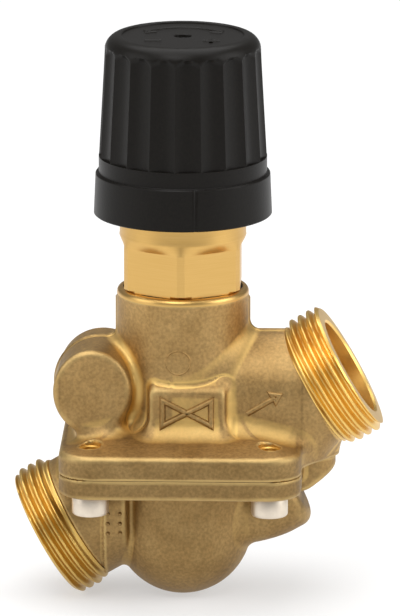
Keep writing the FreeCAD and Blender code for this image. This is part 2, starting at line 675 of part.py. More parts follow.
def spindle_spring():
    high = SPINDLE_SPRING_LOW + SPINDLE_SPRING
    return coil_spring(SPINDLE_SPRING_R, SPINDLE_SPRING_WIRE, SPINDLE_SPRING_LOW, high, SPINDLE_SPRING_TURNS)


def cap():
    """Moulded hand cap: collar, band, fluted grip, rounded shoulder and sunk top."""
    bore_r = ACTUATOR_THREAD_R + CAP_BORE_GAP
    bore_top = CAP_LOW + CAP_BORE
    roof = CAP_TOP - CAP_ROOF
    low_room_r = CAP_BAND_R - CAP_WALL
    high_room_r = CAP_SHOULDER_R - CAP_WALL
    boss_low = roof - CAP_BOSS
    shell = turned((bore_r, CAP_LOW), (CAP_R, CAP_LOW), (CAP_COLLAR_TOP_R, CAP_COLLAR_TOP),
                   (CAP_BAND_R, CAP_COLLAR_TOP), (CAP_BAND_R, CAP_BAND_TOP), (CAP_SHOULDER_R, CAP_FLUTE_TOP),
                   (CAP_RIM_R, CAP_TOP), (CAP_DISC_R, CAP_TOP), (CAP_DISC_R, CAP_TOP - CAP_DISC_SUNK),
                   (THRUST_PIN_R, CAP_TOP - CAP_DISC_SUNK), (THRUST_PIN_R, boss_low), (CAP_BOSS_R, boss_low),
                   (CAP_BOSS_R, roof), (high_room_r, roof), (low_room_r, bore_top), (bore_r, bore_top))
    return shell.makeFillet(CAP_SHOULDER, edges_at(shell, CAP_FLUTE_TOP)).cut(flute_cutters())


def flute_cutters():
    """Round cutters that follow the grip's taper and run out at its shoulder."""
    offset = FLUTE_R - FLUTE_DEPTH
    low = Vector(CAP_BAND_R + offset, 0, CAP_BAND_TOP)
    high = Vector(CAP_SHOULDER_R + offset, 0, CAP_FLUTE_TOP)
    cutter = Part.makeCylinder(FLUTE_R, (high - low).Length, low, high - low)
    step = 360 / FLUTES
    return [cutter.rotated(Vector(), UP, FIRST_RIDGE + step * (k + 0.5)) for k in range(FLUTES)]


def cap_thrust_pin():
    return disc(THRUST_PIN_R, SPINDLE_TOP, CAP_TOP - CAP_DISC_SUNK - THRUST_PIN_SUNK)


def regulator_sleeve():
    """Throttle sleeve: skirt, spring shoulder, flange under the membrane and threaded neck."""
    return turned((SLEEVE_INNER_R, SLEEVE_LOW), (SLEEVE_R, SLEEVE_LOW), (SLEEVE_R, SLEEVE_FLANGE_LOW),
                  (SLEEVE_FLANGE_R, SLEEVE_FLANGE_LOW), (SLEEVE_FLANGE_R, SLEEVE_FLANGE_TOP),
                  (SLEEVE_NECK_R, SLEEVE_FLANGE_TOP), (SLEEVE_NECK_R, NUT_TOP), (SLEEVE_THROAT_R, NUT_TOP),
                  (SLEEVE_THROAT_R, SLEEVE_SHOULDER_LOW), (SLEEVE_INNER_R, SLEEVE_SHOULDER_LOW))


def diaphragm():
    """Rolled rubber membrane, its rim held between the flanges."""
    inner = SLEEVE_NECK_R + SLEEVE_FIT
    outer = MEMBRANE_SEAT_R - RUNNING_GAP
    middle = (MEMBRANE_ARCH_IN + MEMBRANE_ARCH_OUT) / 2
    low, high = MEMBRANE_LOW, MEMBRANE_TOP
    under = MEMBRANE_ARCH_IN + MEMBRANE / 2, MEMBRANE_ARCH_OUT - MEMBRANE / 2

    def at(radius, height):
        return Vector(radius, 0, height)

    edges = [
        Part.LineSegment(at(inner, low), at(under[0], low)),
        Part.Arc(at(under[0], low), at(middle, low + MEMBRANE_ARCH), at(under[1], low)),
        Part.LineSegment(at(under[1], low), at(outer, low)),
        Part.LineSegment(at(outer, low), at(outer, high)),
        Part.LineSegment(at(outer, high), at(MEMBRANE_ARCH_OUT, high)),
        Part.Arc(at(MEMBRANE_ARCH_OUT, high), at(middle, high + MEMBRANE_ARCH), at(MEMBRANE_ARCH_IN, high)),
        Part.LineSegment(at(MEMBRANE_ARCH_IN, high), at(inner, high)),
        Part.LineSegment(at(inner, high), at(inner, low)),
    ]
    return Part.Face(Part.Wire([e.toShape() for e in edges])).revolve(Vector(), UP, 360)


def diaphragm_plate():
    return ring(SLEEVE_NECK_R + SLEEVE_FIT, MEMBRANE_PLATE_R, PLATE_LOW, PLATE_TOP)


def diaphragm_nut():
    nut = hexagon(2 * MEMBRANE_NUT_R * math.cos(math.pi / 6), PLATE_TOP, NUT_TOP, 0)
    return nut.cut(disc(SLEEVE_NECK_R + SLEEVE_FIT, PLATE_TOP - OVERCUT, NUT_TOP + OVERCUT))


def guide_ring():
    """Ring in the regulator room that guides the sleeve, with a groove for its seal."""
    bore = SLEEVE_R + SLEEVE_FIT
    outer = REGULATOR_ROOM_R - GUIDE_FIT
    middle = GUIDE_TOP - GUIDE / 2
    groove = SLEEVE_SEAL_WIRE + SLEEVE_FIT
    body = ring(bore, outer, GUIDE_TOP - GUIDE, GUIDE_TOP)
    return body.cut(ring(bore - OVERCUT, bore + 2 * groove, middle - groove, middle + groove))


def sleeve_seal():
    return torus(SLEEVE_R + SLEEVE_FIT + SLEEVE_SEAL_WIRE, SLEEVE_SEAL_WIRE, GUIDE_TOP - GUIDE / 2)


def regulator_spring():
    low = THROTTLE_TOP + SPRING_GAP
    high = SLEEVE_SHOULDER_LOW - SPRING_GAP
    return coil_spring(REGULATOR_SPRING_R, REGULATOR_SPRING_WIRE, low, high, REGULATOR_SPRING_TURNS)


def throttle_seat():
    return disc(THROTTLE_SEAT_R, FLOOR_Z, THROTTLE_TOP)


def duct_seal():
    seal = torus(DUCT_SEAL_R, DUCT_SEAL_WIRE, -DUCT_SEAL_ROOM / 2)
    return seal.translated(Vector(EAR_X, 0, 0))


PIECES = [
    upper_body, lower_body, flange_screws, insert_housing, insert_seal, seat_ring, preset_sleeve,
    preset_dial, gland_nut, gland_washer, spindle_seal, spindle, control_plug, plug_seal, plug_nut,
    spindle_clip, spindle_spring, cap, cap_thrust_pin, regulator_sleeve, diaphragm, diaphragm_plate,
    diaphragm_nut, guide_ring, sleeve_seal, regulator_spring, throttle_seat, duct_seal,
]

os.makedirs("parts", exist_ok=True)
for piece in PIECES:
    shape = piece().translated(NECK_FOOT)
    shape.exportStep("parts/" + piece.__name__ + ".step")
    print(piece.__name__, len(shape.Solids), round(shape.Volume, 2), shape.isValid())
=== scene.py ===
import json
import math

import bpy
import numpy as np
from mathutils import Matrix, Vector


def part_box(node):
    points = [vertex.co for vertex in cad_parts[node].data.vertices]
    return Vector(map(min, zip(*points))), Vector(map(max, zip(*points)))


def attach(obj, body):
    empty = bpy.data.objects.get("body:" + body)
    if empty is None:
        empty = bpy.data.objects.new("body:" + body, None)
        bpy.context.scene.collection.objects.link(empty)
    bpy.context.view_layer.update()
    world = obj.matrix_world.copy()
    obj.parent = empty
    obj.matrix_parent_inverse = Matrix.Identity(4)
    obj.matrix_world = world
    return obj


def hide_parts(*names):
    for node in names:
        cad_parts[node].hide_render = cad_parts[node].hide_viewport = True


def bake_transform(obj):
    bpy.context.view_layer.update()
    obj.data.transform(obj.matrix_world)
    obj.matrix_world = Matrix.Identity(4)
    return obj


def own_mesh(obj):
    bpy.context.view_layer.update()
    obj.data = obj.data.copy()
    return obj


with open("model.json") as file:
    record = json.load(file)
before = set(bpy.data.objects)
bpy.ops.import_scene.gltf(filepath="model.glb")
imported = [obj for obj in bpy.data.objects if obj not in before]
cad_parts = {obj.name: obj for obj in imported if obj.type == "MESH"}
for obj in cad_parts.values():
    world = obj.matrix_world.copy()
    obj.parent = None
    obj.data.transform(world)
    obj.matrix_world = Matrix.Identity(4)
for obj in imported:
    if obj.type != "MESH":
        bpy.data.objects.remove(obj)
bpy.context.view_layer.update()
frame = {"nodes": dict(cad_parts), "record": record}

import openvdb
from mathutils import Matrix, Vector

# Sizes in millimetres, from the foot of the neck: its axis is Z, and the flanges' joint is at height 0
MM = 0.001
TILT = math.radians(30.0)
PIPE_DROP = 1.27
INLET_REACH = 30.0
OUTLET_REACH = 37.0
INLET_THREAD = 7.0
OUTLET_THREAD = 8.0
PORT_BORE_R = 9.6
BORE_PLAY = 0.05
STUB_LAP = 0.3
OUTLET_STUB = 27.0
INLET_STUB = 15.0
UNDERCUT_R = 11.3
FLANGE_HALF = 23.0
FLANGE_CORNER = 6.5
UPPER_FLANGE = 4.4
LOWER_FLANGE = 3.85
FLANGE_SLOPE = math.radians(13.0)
SCREW_SPACING = 34.0
NECK_R = 12.55
NECK_TOP = 32.75
RIM = 1.0
PANEL_MIDDLE = 1.2
PANEL_HALF = 7.2
PANEL_FRONT = 13.5
PANEL_TOP = 15.4
PANEL_LEDGE = 0.6
ARM_R = 11.4
ARM_Z = 12.75
ARM_LEAN = 0.6
ARM_DRAFT = 0.04
BEND_X = (ARM_Z + PIPE_DROP) / math.tan(TILT)
PARTING = 0.3
PARTING_HALF = 0.45
DOME_R = 13.2
DOME_Z = -14.3
EAR_X = 24.6
JOINT_EDGE = 0.3
EAR_FILLET = 1.0
FOOT = np.array([INLET_REACH * math.cos(TILT), 0.0, INLET_REACH * math.sin(TILT) + PIPE_DROP])

# Sizes of the upper forging's boss, ear, fillets and rooms
BOSS_X = -15.5
BOSS_Z = 13.9
BOSS_R = 8.9
BOSS_FRONT = 13.0
BOSS_BACK = 9.0
BOSS_DRAFT_WIDE = 1.6
BOSS_DRAFT_HIGH = 0.8
BOSS_DRAFT_BACK = 0.5
BOSS_LEAN = 1.45
BOSS_RISE = 0.8
UPPER_EAR_R = 5.3
PANEL_FILLET = 0.6
ARM_FILLET = 2.2
BOSS_FILLET = 2.0
FLANGE_FILLET = 3.2
CHAMBER_R = 10.45
CHAMBER_LOW = 10.5
SEAT_R = 5.0
FUNNEL_R = 14.0
FUNNEL_LOW = 3.4
FUNNEL_TOP = 7.0
FUNNEL_SLOPE = 1.25
OUTLET_MOUTH = 9.0
OUTLET_PASSAGE_R = 5.4
OUTLET_PASSAGE_Z = 16.05
OUTLET_PASSAGE_END = 32.0
DUCT_R = 1.2
DUCT_TOP = 15.0
TAPPED_R = 2.05

# Sizes of the lower forging's inlet arm, lobe, ear, fillets and rooms
SHOULDER_X = -10.5
SHOULDER_HALF = 12.0
SHOULDER_LEAN = 0.2
INLET_ARM_R = 11.9
PAD_R = 12.3
PAD_LEFT = -14.8
LOBE_X = 21.65
LOBE_Z = -6.3
LOBE_R = 7.4
LOBE_LOW = -17.3
LOBE_LENGTH = 22.0
LOWER_EAR_R = 4.6
LOWER_EAR_UPRIGHT = 2.5
LOWER_EAR_LOW = -6.7
LOWER_EAR_SLANT = 5.8
DOME_FILLET = 1.6
INLET_FILLET = 1.1
LOBE_FILLET = 1.6
DOME_ROOM_R = 11.0
DOME_ROOM_LOW = -21.3
MEMBRANE_SEAT_R = 18.0
MEMBRANE_SEAT = 1.1
INLET_MOUTH = 7.0
INLET_PASSAGE_R = 5.5
INLET_PASSAGE_Z = -13.5
INLET_PASSAGE_END = -26.0
SCREW_HOLE_R = 2.25

# Sizes of the control insert and the cap
HEX_HALF = 11.0
HEX_CORNER_R = 12.3
HEX_TOP = 41.2
RUN_OUT = 1.8
RUN_OUT_CURVE = 1.2
HEX_FOOT_R = 11.75
HEX_FOOT_RISE = 1.2
COLLAR_TOP = 47.6
ACTUATOR_R = 15.0
ACTUATOR_TOP = 54.0
INSERT_END = 58.0
CAP_LOW = 47.0
BAND_TOP = 58.25
GRIP_TOP = 80.1
CAP_TOP = 81.6
GRIP_LOW_R = 16.0
GRIP_TOP_R = 14.8
GRIP_INNER_R = 12.6
FLUTES = 20
FLUTE_DEPTH = 0.75
FLUTE_ARCH = 79.7
FLUTE_COLUMNS = 16
FIRST_RIDGE = math.radians(-75.4)
CAP_ROUND = 3.0
CAP_DISC = CAP_TOP - 0.3
COLLAR_RIM = 55.2
COLLAR_INNER_R = 16.2
SEAM_DEPTH = 0.16
MARK_R = 7.4
MARK_WIDTH = 1.0
MARK_HEIGHT = 0.3

# Heights above the inlet's middle between which the brass's painted shade turns from dark to light, and its
# painted fillet highlights grow
PAINTED_SHADE_LOW = -11.0
PAINTED_SHADE_HIGH = 50.0
THREAD_PAINTED_SHADE_HIGH = 34.0
FAINT_HIGHLIGHT_Z = 10.0
FULL_HIGHLIGHT_Z = 20.0


def linear(hex_colour):
    """Linear colour with full alpha from an sRGB hex value."""
    parts = [int(hex_colour[i:i + 2], 16) / 255 for i in (1, 3, 5)]
    return tuple(p / 12.92 if p <= 0.04045 else ((p + 0.055) / 1.055) ** 2.4 for p in parts) + (1.0,)


def add(tree, kind, inputs=None, **settings):
    """Add a node, set its own settings, then set or link its inputs; a node stands for its first output."""
    new = tree.nodes.new(kind)
    for name, value in settings.items():
        setattr(new, name, value)
    for name, value in (inputs or {}).items():
        source = value.outputs[0] if isinstance(value, bpy.types.Node) else value
        if isinstance(source, bpy.types.NodeSocket):
            tree.links.new(source, new.inputs[name])
        else:
            new.inputs[name].default_value = source
    return new


def per_mm(size):
    """Texture scale whose features are about this many millimetres across."""
    return 1 / (size * MM)


def new_material(name):
    """Material with one shader, and the place on the piece that its patterns follow."""
    material = bpy.data.materials.new(name)
    material.use_nodes = True
    tree = material.node_tree
    tree.nodes.clear()
    shader = add(tree, "ShaderNodeBsdfPrincipled")
    add(tree, "ShaderNodeOutputMaterial", {"Surface": shader})
    place = add(tree, "ShaderNodeTexCoord").outputs["Object"]
    return material, tree, shader, place


def forged_brass():
    """Hot-forged brass, shot-blasted: matte grain over a slightly wavy skin with faint stains.

    It is darker towards the foot and lighter towards the top, as painted shade, darker on the trimmed sides
    of the flanges, with painted highlights in its wide fillets, and bright on worn edges.
    """
    material, tree, shader, place = new_material("shot_blasted_forged_brass")
    # Real shot marks are about 0.3 mm across, too fine to show, so the grain is drawn at 0.6 mm
    stains = add(tree, "ShaderNodeTexNoise", {"Vector": place, "Scale": per_mm(6.0), "Detail": 5.0})
    waves = add(tree, "ShaderNodeTexNoise", {"Vector": place, "Scale": per_mm(3.5), "Detail": 1.0})
    grain = add(tree, "ShaderNodeTexNoise", {"Vector": place, "Scale": per_mm(0.6), "Detail": 3.0})
    height = add(tree, "ShaderNodeSeparateXYZ", {0: place}).outputs["Z"]
    edge = add(tree, "ShaderNodeAttribute", attribute_name="edge").outputs["Fac"]
    trimmed = add(tree, "ShaderNodeAttribute", attribute_name="trimmed").outputs["Fac"]

    tone = add(tree, "ShaderNodeMapRange", {"Value": stains, "From Min": 0.15, "From Max": 0.85})
    metal = add(tree, "ShaderNodeMix", {"Factor": tone, "A": linear("#967749"), "B": linear("#b79865")},
                data_type="RGBA")
    speck = add(tree, "ShaderNodeMapRange", {"Value": grain, "From Min": 0.35, "From Max": 0.7,
                                             "To Min": 0.8, "To Max": 1.15})
    # Painted shade: the brass darkens towards the foot and lightens towards the top
    painted_height_shade = add(tree, "ShaderNodeMapRange", {"Value": height, "From Min": PAINTED_SHADE_LOW * MM,
                                            "From Max": PAINTED_SHADE_HIGH * MM, "To Min": 0.8, "To Max": 1.18})
    skin = add(tree, "ShaderNodeMapRange", {"Value": trimmed, "To Min": 1.0, "To Max": 0.78})
    height_shaded = add(tree, "ShaderNodeMath", {0: speck, 1: painted_height_shade}, operation="MULTIPLY")
    shade = add(tree, "ShaderNodeMath", {0: height_shaded, 1: skin}, operation="MULTIPLY")
    speckled = add(tree, "ShaderNodeVectorMath", {0: metal.outputs["Result"], "Scale": shade},
                   operation="SCALE")

    # Painted highlight: wide concave fillets are mixed towards pale gold, more strongly higher up
    fillet_highlight_strength = add(tree, "ShaderNodeMapRange", {"Value": height, "From Min": FAINT_HIGHLIGHT_Z * MM,
                                                "From Max": FULL_HIGHLIGHT_Z * MM,
                                                "To Min": 0.2, "To Max": 0.8})
    hollow = add(tree, "ShaderNodeMapRange", {"Value": edge, "From Min": -0.05, "From Max": -0.5,
                                              "To Max": fillet_highlight_strength})
    broad = add(tree, "ShaderNodeMapRange", {"Value": edge, "From Min": -1.4, "From Max": -0.7})
    fillet = add(tree, "ShaderNodeMath", {0: hollow, 1: broad}, operation="MULTIPLY")
    fillet_highlighted = add(tree, "ShaderNodeMix", {"Factor": fillet, "A": speckled, "B": linear("#e3bf74")},
                data_type="RGBA")
    patchy = add(tree, "ShaderNodeMath", {0: edge, 1: stains}, operation="MULTIPLY")
    wear = add(tree, "ShaderNodeMapRange", {"Value": patchy, "From Min": 0.15, "From Max": 0.7,
                                            "To Max": 0.6})
    worn = add(tree, "ShaderNodeMix", {"Factor": wear, "A": fillet_highlighted.outputs["Result"], "B": linear("#cfb277")},
               data_type="RGBA")
    tree.links.new(worn.outputs["Result"], shader.inputs["Base Color"])
    shader.inputs["Metallic"].default_value = 1.0

    dull = add(tree, "ShaderNodeMapRange", {"Value": grain, "To Min": 0.44, "To Max": 0.6})
    tree.links.new(dull.outputs[0], shader.inputs["Roughness"])
    wavy = add(tree, "ShaderNodeBump", {"Height": waves, "Strength": 0.5, "Distance": 0.2 * MM})
    bump = add(tree, "ShaderNodeBump", {"Height": grain, "Strength": 0.4, "Distance": 0.06 * MM,
                                        "Normal": wavy})
    tree.links.new(bump.outputs[0], shader.inputs["Normal"])
    return material


def turned_brass(name, dark, light, roughness, line, lean):
    """Brass cut on a lathe: fresh yellow metal, darker towards the foot as painted shade, with fine feed
    lines round it.
    """
    material, tree, shader, place = new_material(name)
    # Real feed lines are about 0.1 mm apart, too fine to show, so they are drawn as wide as the line given
    lines = add(tree, "ShaderNodeMapping", {"Vector": place, "Rotation": (0.0, lean, 0.0),
                                            "Scale": (9.0 * MM, 9.0 * MM, line * MM)}, vector_type="TEXTURE")
    feed = add(tree, "ShaderNodeTexNoise", {"Vector": lines, "Scale": 1.0, "Detail": 2.0})
    tint = add(tree, "ShaderNodeMix", {"Factor": feed, "A": linear(dark), "B": linear(light)},
               data_type="RGBA")
    height = add(tree, "ShaderNodeSeparateXYZ", {0: place}).outputs["Z"]
    # Painted shade: darker towards the foot, lighter towards the top
    painted_height_shade = add(tree, "ShaderNodeMapRange", {"Value": height, "From Min": PAINTED_SHADE_LOW * MM,
                                            "From Max": THREAD_PAINTED_SHADE_HIGH * MM, "To Min": 0.7, "To Max": 1.08})
    height_shaded = add(tree, "ShaderNodeVectorMath", {0: tint.outputs["Result"], "Scale": painted_height_shade}, operation="SCALE")
    tree.links.new(height_shaded.outputs[0], shader.inputs["Base Color"])
    shader.inputs["Metallic"].default_value = 1.0
    shader.inputs["Roughness"].default_value = roughness
    bump = add(tree, "ShaderNodeBump", {"Height": feed, "Strength": 0.15, "Distance": 0.03 * MM})
    tree.links.new(bump.outputs[0], shader.inputs["Normal"])
    return material


def bright_steel(name, dark, light, roughness):
    """Zinc-plated or drawn steel: pale grey metal with faint cloudy variation."""
    material, tree, shader, place = new_material(name)
    cloud = add(tree, "ShaderNodeTexNoise", {"Vector": place, "Scale": per_mm(1.5), "Detail": 3.0})
    tint = add(tree, "ShaderNodeMix", {"Factor": cloud, "A": linear(dark), "B": linear(light)},
               data_type="RGBA")
    tree.links.new(tint.outputs["Result"], shader.inputs["Base Color"])
    shader.inputs["Metallic"].default_value = 1.0
    shader.inputs["Roughness"].default_value = roughness
    return material


def moulded(name, dark, light, roughness, gloss, texture, depth):
    """Moulded plastic or rubber: even colour with the fine grain of its mould."""
    material, tree, shader, place = new_material(name)
    # The mould's grain is too fine to show, so it is drawn as coarse as the texture given
    grain = add(tree, "ShaderNodeTexNoise", {"Vector": place, "Scale": per_mm(texture), "Detail": 2.0})
    tint = add(tree, "ShaderNodeMix", {"Factor": grain, "A": linear(dark), "B": linear(light)},
               data_type="RGBA")
    tree.links.new(tint.outputs["Result"], shader.inputs["Base Color"])
    shader.inputs["Roughness"].default_value = roughness
    shader.inputs["Specular IOR Level"].default_value = gloss
    bump = add(tree, "ShaderNodeBump", {"Height": grain, "Strength": 0.3, "Distance": depth * MM})
    tree.links.new(bump.outputs[0], shader.inputs["Normal"])
    return material


FORGED = forged_brass()
TURNED = turned_brass("turned_brass", "#caa15b", "#d4ae6b", 0.36, 0.25, 0.0)
THREADED = turned_brass("thread_cut_brass", "#dcaf58", "#f0cd7c", 0.36, 0.5, math.pi / 2 - TILT)
ZINC = bright_steel("zinc_plated_steel", "#d4c7b6", "#ece0ce", 0.42)
STAINLESS = bright_steel("drawn_stainless_steel", "#a9a9a8", "#c9c9c7", 0.25)
CAP_BLACK = moulded("moulded_black_nylon", "#0c0a08", "#171410", 0.38, 0.16, 0.5, 0.05)
DIAL_GREY = moulded("moulded_grey_nylon", "#6d6d6c", "#7b7b7a", 0.45, 0.5, 0.5, 0.03)
RUBBER = moulded("moulded_seal_rubber", "#141414", "#1e1e1e", 0.6, 0.4, 0.4, 0.03)
SLOT_MATERIALS = {"forged_brass": FORGED, "machined_brass": TURNED, "plated_steel": ZINC,
                  "stainless_steel": STAINLESS, "black_plastic": CAP_BLACK, "grey_plastic": DIAL_GREY,
                  "seal_rubber": RUBBER}


def new_piece(name, points, faces, material, sharp=35.0):
    """Mesh object from points in millimetres, with its place in its mesh."""
    mesh = bpy.data.meshes.new(name)
    mesh.from_pydata((np.asarray(points) + FOOT) * MM, [], faces)
    mesh.validate()
    mesh.materials.append(material)
    mesh.shade_smooth()
    mesh.set_sharp_from_angle(angle=math.radians(sharp))
    piece = bpy.data.objects.new(name, mesh)
    bpy.context.scene.collection.objects.link(piece)
    return piece


def round_union(a, b, radius):
    """Distance to two joined shapes with a fillet of this radius between them."""
    u = np.maximum(radius - a, 0)
    v = np.maximum(radius - b, 0)
    return np.maximum(radius, np.minimum(a, b)) - np.sqrt(u * u + v * v)


def round_cut(a, b, radius):
    """Distance to the common part of two shapes with its edge rounded to this radius."""
    u = np.maximum(radius + a, 0)
    v = np.maximum(radius + b, 0)
    return np.minimum(-radius, np.maximum(a, b)) + np.sqrt(u * u + v * v)


def common(*distances):
    """Distance to the common part of several shapes, with sharp edges."""
    out = distances[0]
    for d in distances[1:]:
        out = np.maximum(out, d)
    return out


def flange_plan(x, y):
    """Distance in plan to the flanges' square with round corners."""
    across = np.abs(x) - (FLANGE_HALF - FLANGE_CORNER)
    deep = np.abs(y) - (FLANGE_HALF - FLANGE_CORNER)
    outside = np.hypot(np.maximum(across, 0), np.maximum(deep, 0))
    return outside + np.minimum(np.maximum(across, deep), 0) - FLANGE_CORNER


def pipe_frame(x, y, z):
    """Distance along the pipe line and distance away from it."""
    along = x * math.cos(TILT) + (z + PIPE_DROP) * math.sin(TILT)
    up = (z + PIPE_DROP) * math.cos(TILT) - x * math.sin(TILT)
    return along, np.hypot(up, y)


def boss(x, y, z):
    """Drafted round boss on the neck's left, with its widest section on the parting plane."""
    front = np.clip(-y / BOSS_FRONT, 0, 1)
    back = np.clip(y / BOSS_BACK, 0, 1)
    half_wide = BOSS_R - BOSS_DRAFT_WIDE * front - BOSS_DRAFT_BACK * back
    half_high = BOSS_R - BOSS_DRAFT_HIGH * front - BOSS_DRAFT_BACK * back
    across = (x - BOSS_X + BOSS_LEAN * front) / half_wide
    high = (z - BOSS_Z - BOSS_RISE * front) / half_high
    side = (np.hypot(across, high) - 1) * half_wide
    return round_cut(round_cut(side, -y - BOSS_FRONT, 1.1), y - BOSS_BACK, 1.0)


def upper_forging(x, y, z):
    """Outside of the upper body: flange, neck, panel, arm, boss and ear with forged fillets."""
    plan = flange_plan(x, y)
    top = (z - UPPER_FLANGE + math.tan(FLANGE_SLOPE) * plan) * math.cos(FLANGE_SLOPE)
    flange = round_cut(plan, top, 0.9)
    neck = np.maximum(np.hypot(x, y) - NECK_R, z - NECK_TOP + RIM)

    ledge = (z - PANEL_TOP - (y + PANEL_FRONT) * PANEL_LEDGE) / math.hypot(1, PANEL_LEDGE)
    panel = round_cut(np.abs(x - PANEL_MIDDLE) - PANEL_HALF, ledge, 1.3)
    panel = common(round_cut(panel, -y - PANEL_FRONT, 0.8), y)

    below = np.minimum(z - ARM_Z, 0)
    above = np.maximum(z - ARM_Z, 0)
    beyond = np.maximum(x - BEND_X - ARM_LEAN * below, 0)
    arm = np.maximum(np.sqrt(beyond * beyond + y * y + above * above) - ARM_R + ARM_DRAFT * below, -x)
    along, off = pipe_frame(x, y, z)
    stub = common(off - UNDERCUT_R, along - (OUTLET_REACH - OUTLET_THREAD + STUB_LAP), OUTLET_STUB - along)
    ear_plan = np.hypot(np.maximum(x - EAR_X, 0), y) - UPPER_EAR_R
    ear = common(round_cut(ear_plan, z - UPPER_FLANGE, 0.8), -x)

    body = round_union(neck, panel, PANEL_FILLET)
    body = round_union(body, arm, ARM_FILLET)
    body = round_union(body, boss(x, y, z), BOSS_FILLET)
    body -= PARTING * np.exp(-(y / PARTING_HALF) ** 2) * (z < NECK_TOP - 2 * RIM)
    body = round_union(body, flange, FLANGE_FILLET)
    body = round_union(body, ear, EAR_FILLET)
    body = np.minimum(body, stub)
    return round_cut(body, -z, JOINT_EDGE)


def upper_rooms(x, y, z):
    """What is machined out of the upper body."""
    round_neck = np.hypot(x, y)
    along, off = pipe_frame(x, y, z)
    chamber = np.maximum(round_neck - CHAMBER_R, CHAMBER_LOW - z)
    seat = round_neck - SEAT_R
    cone = (round_neck - FUNNEL_R + (z - FUNNEL_LOW) * FUNNEL_SLOPE) / math.hypot(1, FUNNEL_SLOPE)
    funnel = common(round_neck - FUNNEL_R, z - FUNNEL_TOP, cone)
    mouth = np.maximum(off - PORT_BORE_R - BORE_PLAY, OUTLET_REACH - OUTLET_MOUTH - along)
    passage = common(np.hypot(y, z - OUTLET_PASSAGE_Z) - OUTLET_PASSAGE_R, -x, x - OUTLET_PASSAGE_END)
    duct = np.maximum(np.hypot(x - EAR_X, y) - DUCT_R, z - DUCT_TOP)
    half = SCREW_SPACING / 2
    tapped = np.maximum(np.hypot(np.abs(x) - half, np.abs(y) - half) - TAPPED_R, z - UPPER_FLANGE - 3.0)
    return np.minimum.reduce(np.broadcast_arrays(chamber, seat, funnel, mouth, passage, duct, tapped))


def lower_forging(x, y, z):
    """Outside of the lower body: flange, dome, inlet arm, inclined lobe and ear."""
    flange = round_cut(flange_plan(x, y), -z - LOWER_FLANGE, 0.8)
    below = np.minimum(z - DOME_Z, 0)
    dome = np.sqrt(x * x + y * y + below * below) - DOME_R

    along, off = pipe_frame(x, y, z)
    shoulder = x - SHOULDER_X - (SHOULDER_HALF - np.abs(y)) * SHOULDER_LEAN
    arm = round_cut(off - INLET_ARM_R, -along - INLET_REACH + INLET_THREAD - 0.1, 0.4)
    arm = round_cut(arm, shoulder, 0.5)
    pad = round_cut(round_cut(off - PAD_R, shoulder, 0.8), PAD_LEFT - x, 0.25)
    stub = common(off - UNDERCUT_R, -along - (INLET_REACH - INLET_THREAD + STUB_LAP), along + INLET_STUB)

    lobe_x = x - LOBE_X
    lobe_z = z - LOBE_Z
    lobe_along = lobe_x * math.cos(TILT) + lobe_z * math.sin(TILT)
    lobe_off = np.hypot(lobe_z * math.cos(TILT) - lobe_x * math.sin(TILT), y) - LOBE_R
    lobe = round_cut(round_cut(lobe_off, lobe_along, 2.4), LOBE_LOW - z, 2.5)
    lobe = np.maximum(lobe, -LOBE_LENGTH - lobe_along)

    ear_plan = np.hypot(np.maximum(x - EAR_X, 0), y) - LOWER_EAR_R
    drop = -LOWER_EAR_LOW - LOWER_EAR_UPRIGHT
    slant = (x - EAR_X - LOWER_EAR_R) * drop - (z + LOWER_EAR_UPRIGHT) * LOWER_EAR_SLANT
    slant /= math.hypot(LOWER_EAR_SLANT, drop)
    ear = common(round_cut(round_cut(ear_plan, slant, 0.8), LOWER_EAR_LOW - z, 0.8), -x)

    body = round_union(dome, flange, DOME_FILLET)
    body = round_union(body, np.minimum(arm, pad), INLET_FILLET)
    body = round_union(body, lobe, LOBE_FILLET)
    body = round_union(body, ear, EAR_FILLET)
    body = np.minimum(body, stub)
    return round_cut(body, z, JOINT_EDGE)


def lower_rooms(x, y, z):
    """What is machined out of the lower body."""
    round_neck = np.hypot(x, y)
    along, off = pipe_frame(x, y, z)
    below = np.minimum(z - DOME_Z, 0)
    room = np.maximum(np.sqrt(x * x + y * y + below * below) - DOME_ROOM_R, DOME_ROOM_LOW - z)
    seat = np.maximum(round_neck - MEMBRANE_SEAT_R, -MEMBRANE_SEAT - z)
    mouth = np.maximum(off - PORT_BORE_R - BORE_PLAY, along + INLET_REACH - INLET_MOUTH)
    passage = common(np.hypot(y, z - INLET_PASSAGE_Z) - INLET_PASSAGE_R, x, INLET_PASSAGE_END - x)
    half = SCREW_SPACING / 2
    through = np.hypot(np.abs(x) - half, np.abs(y) - half) - SCREW_HOLE_R
    return np.minimum.reduce(np.broadcast_arrays(room, seat, mouth, passage, through))


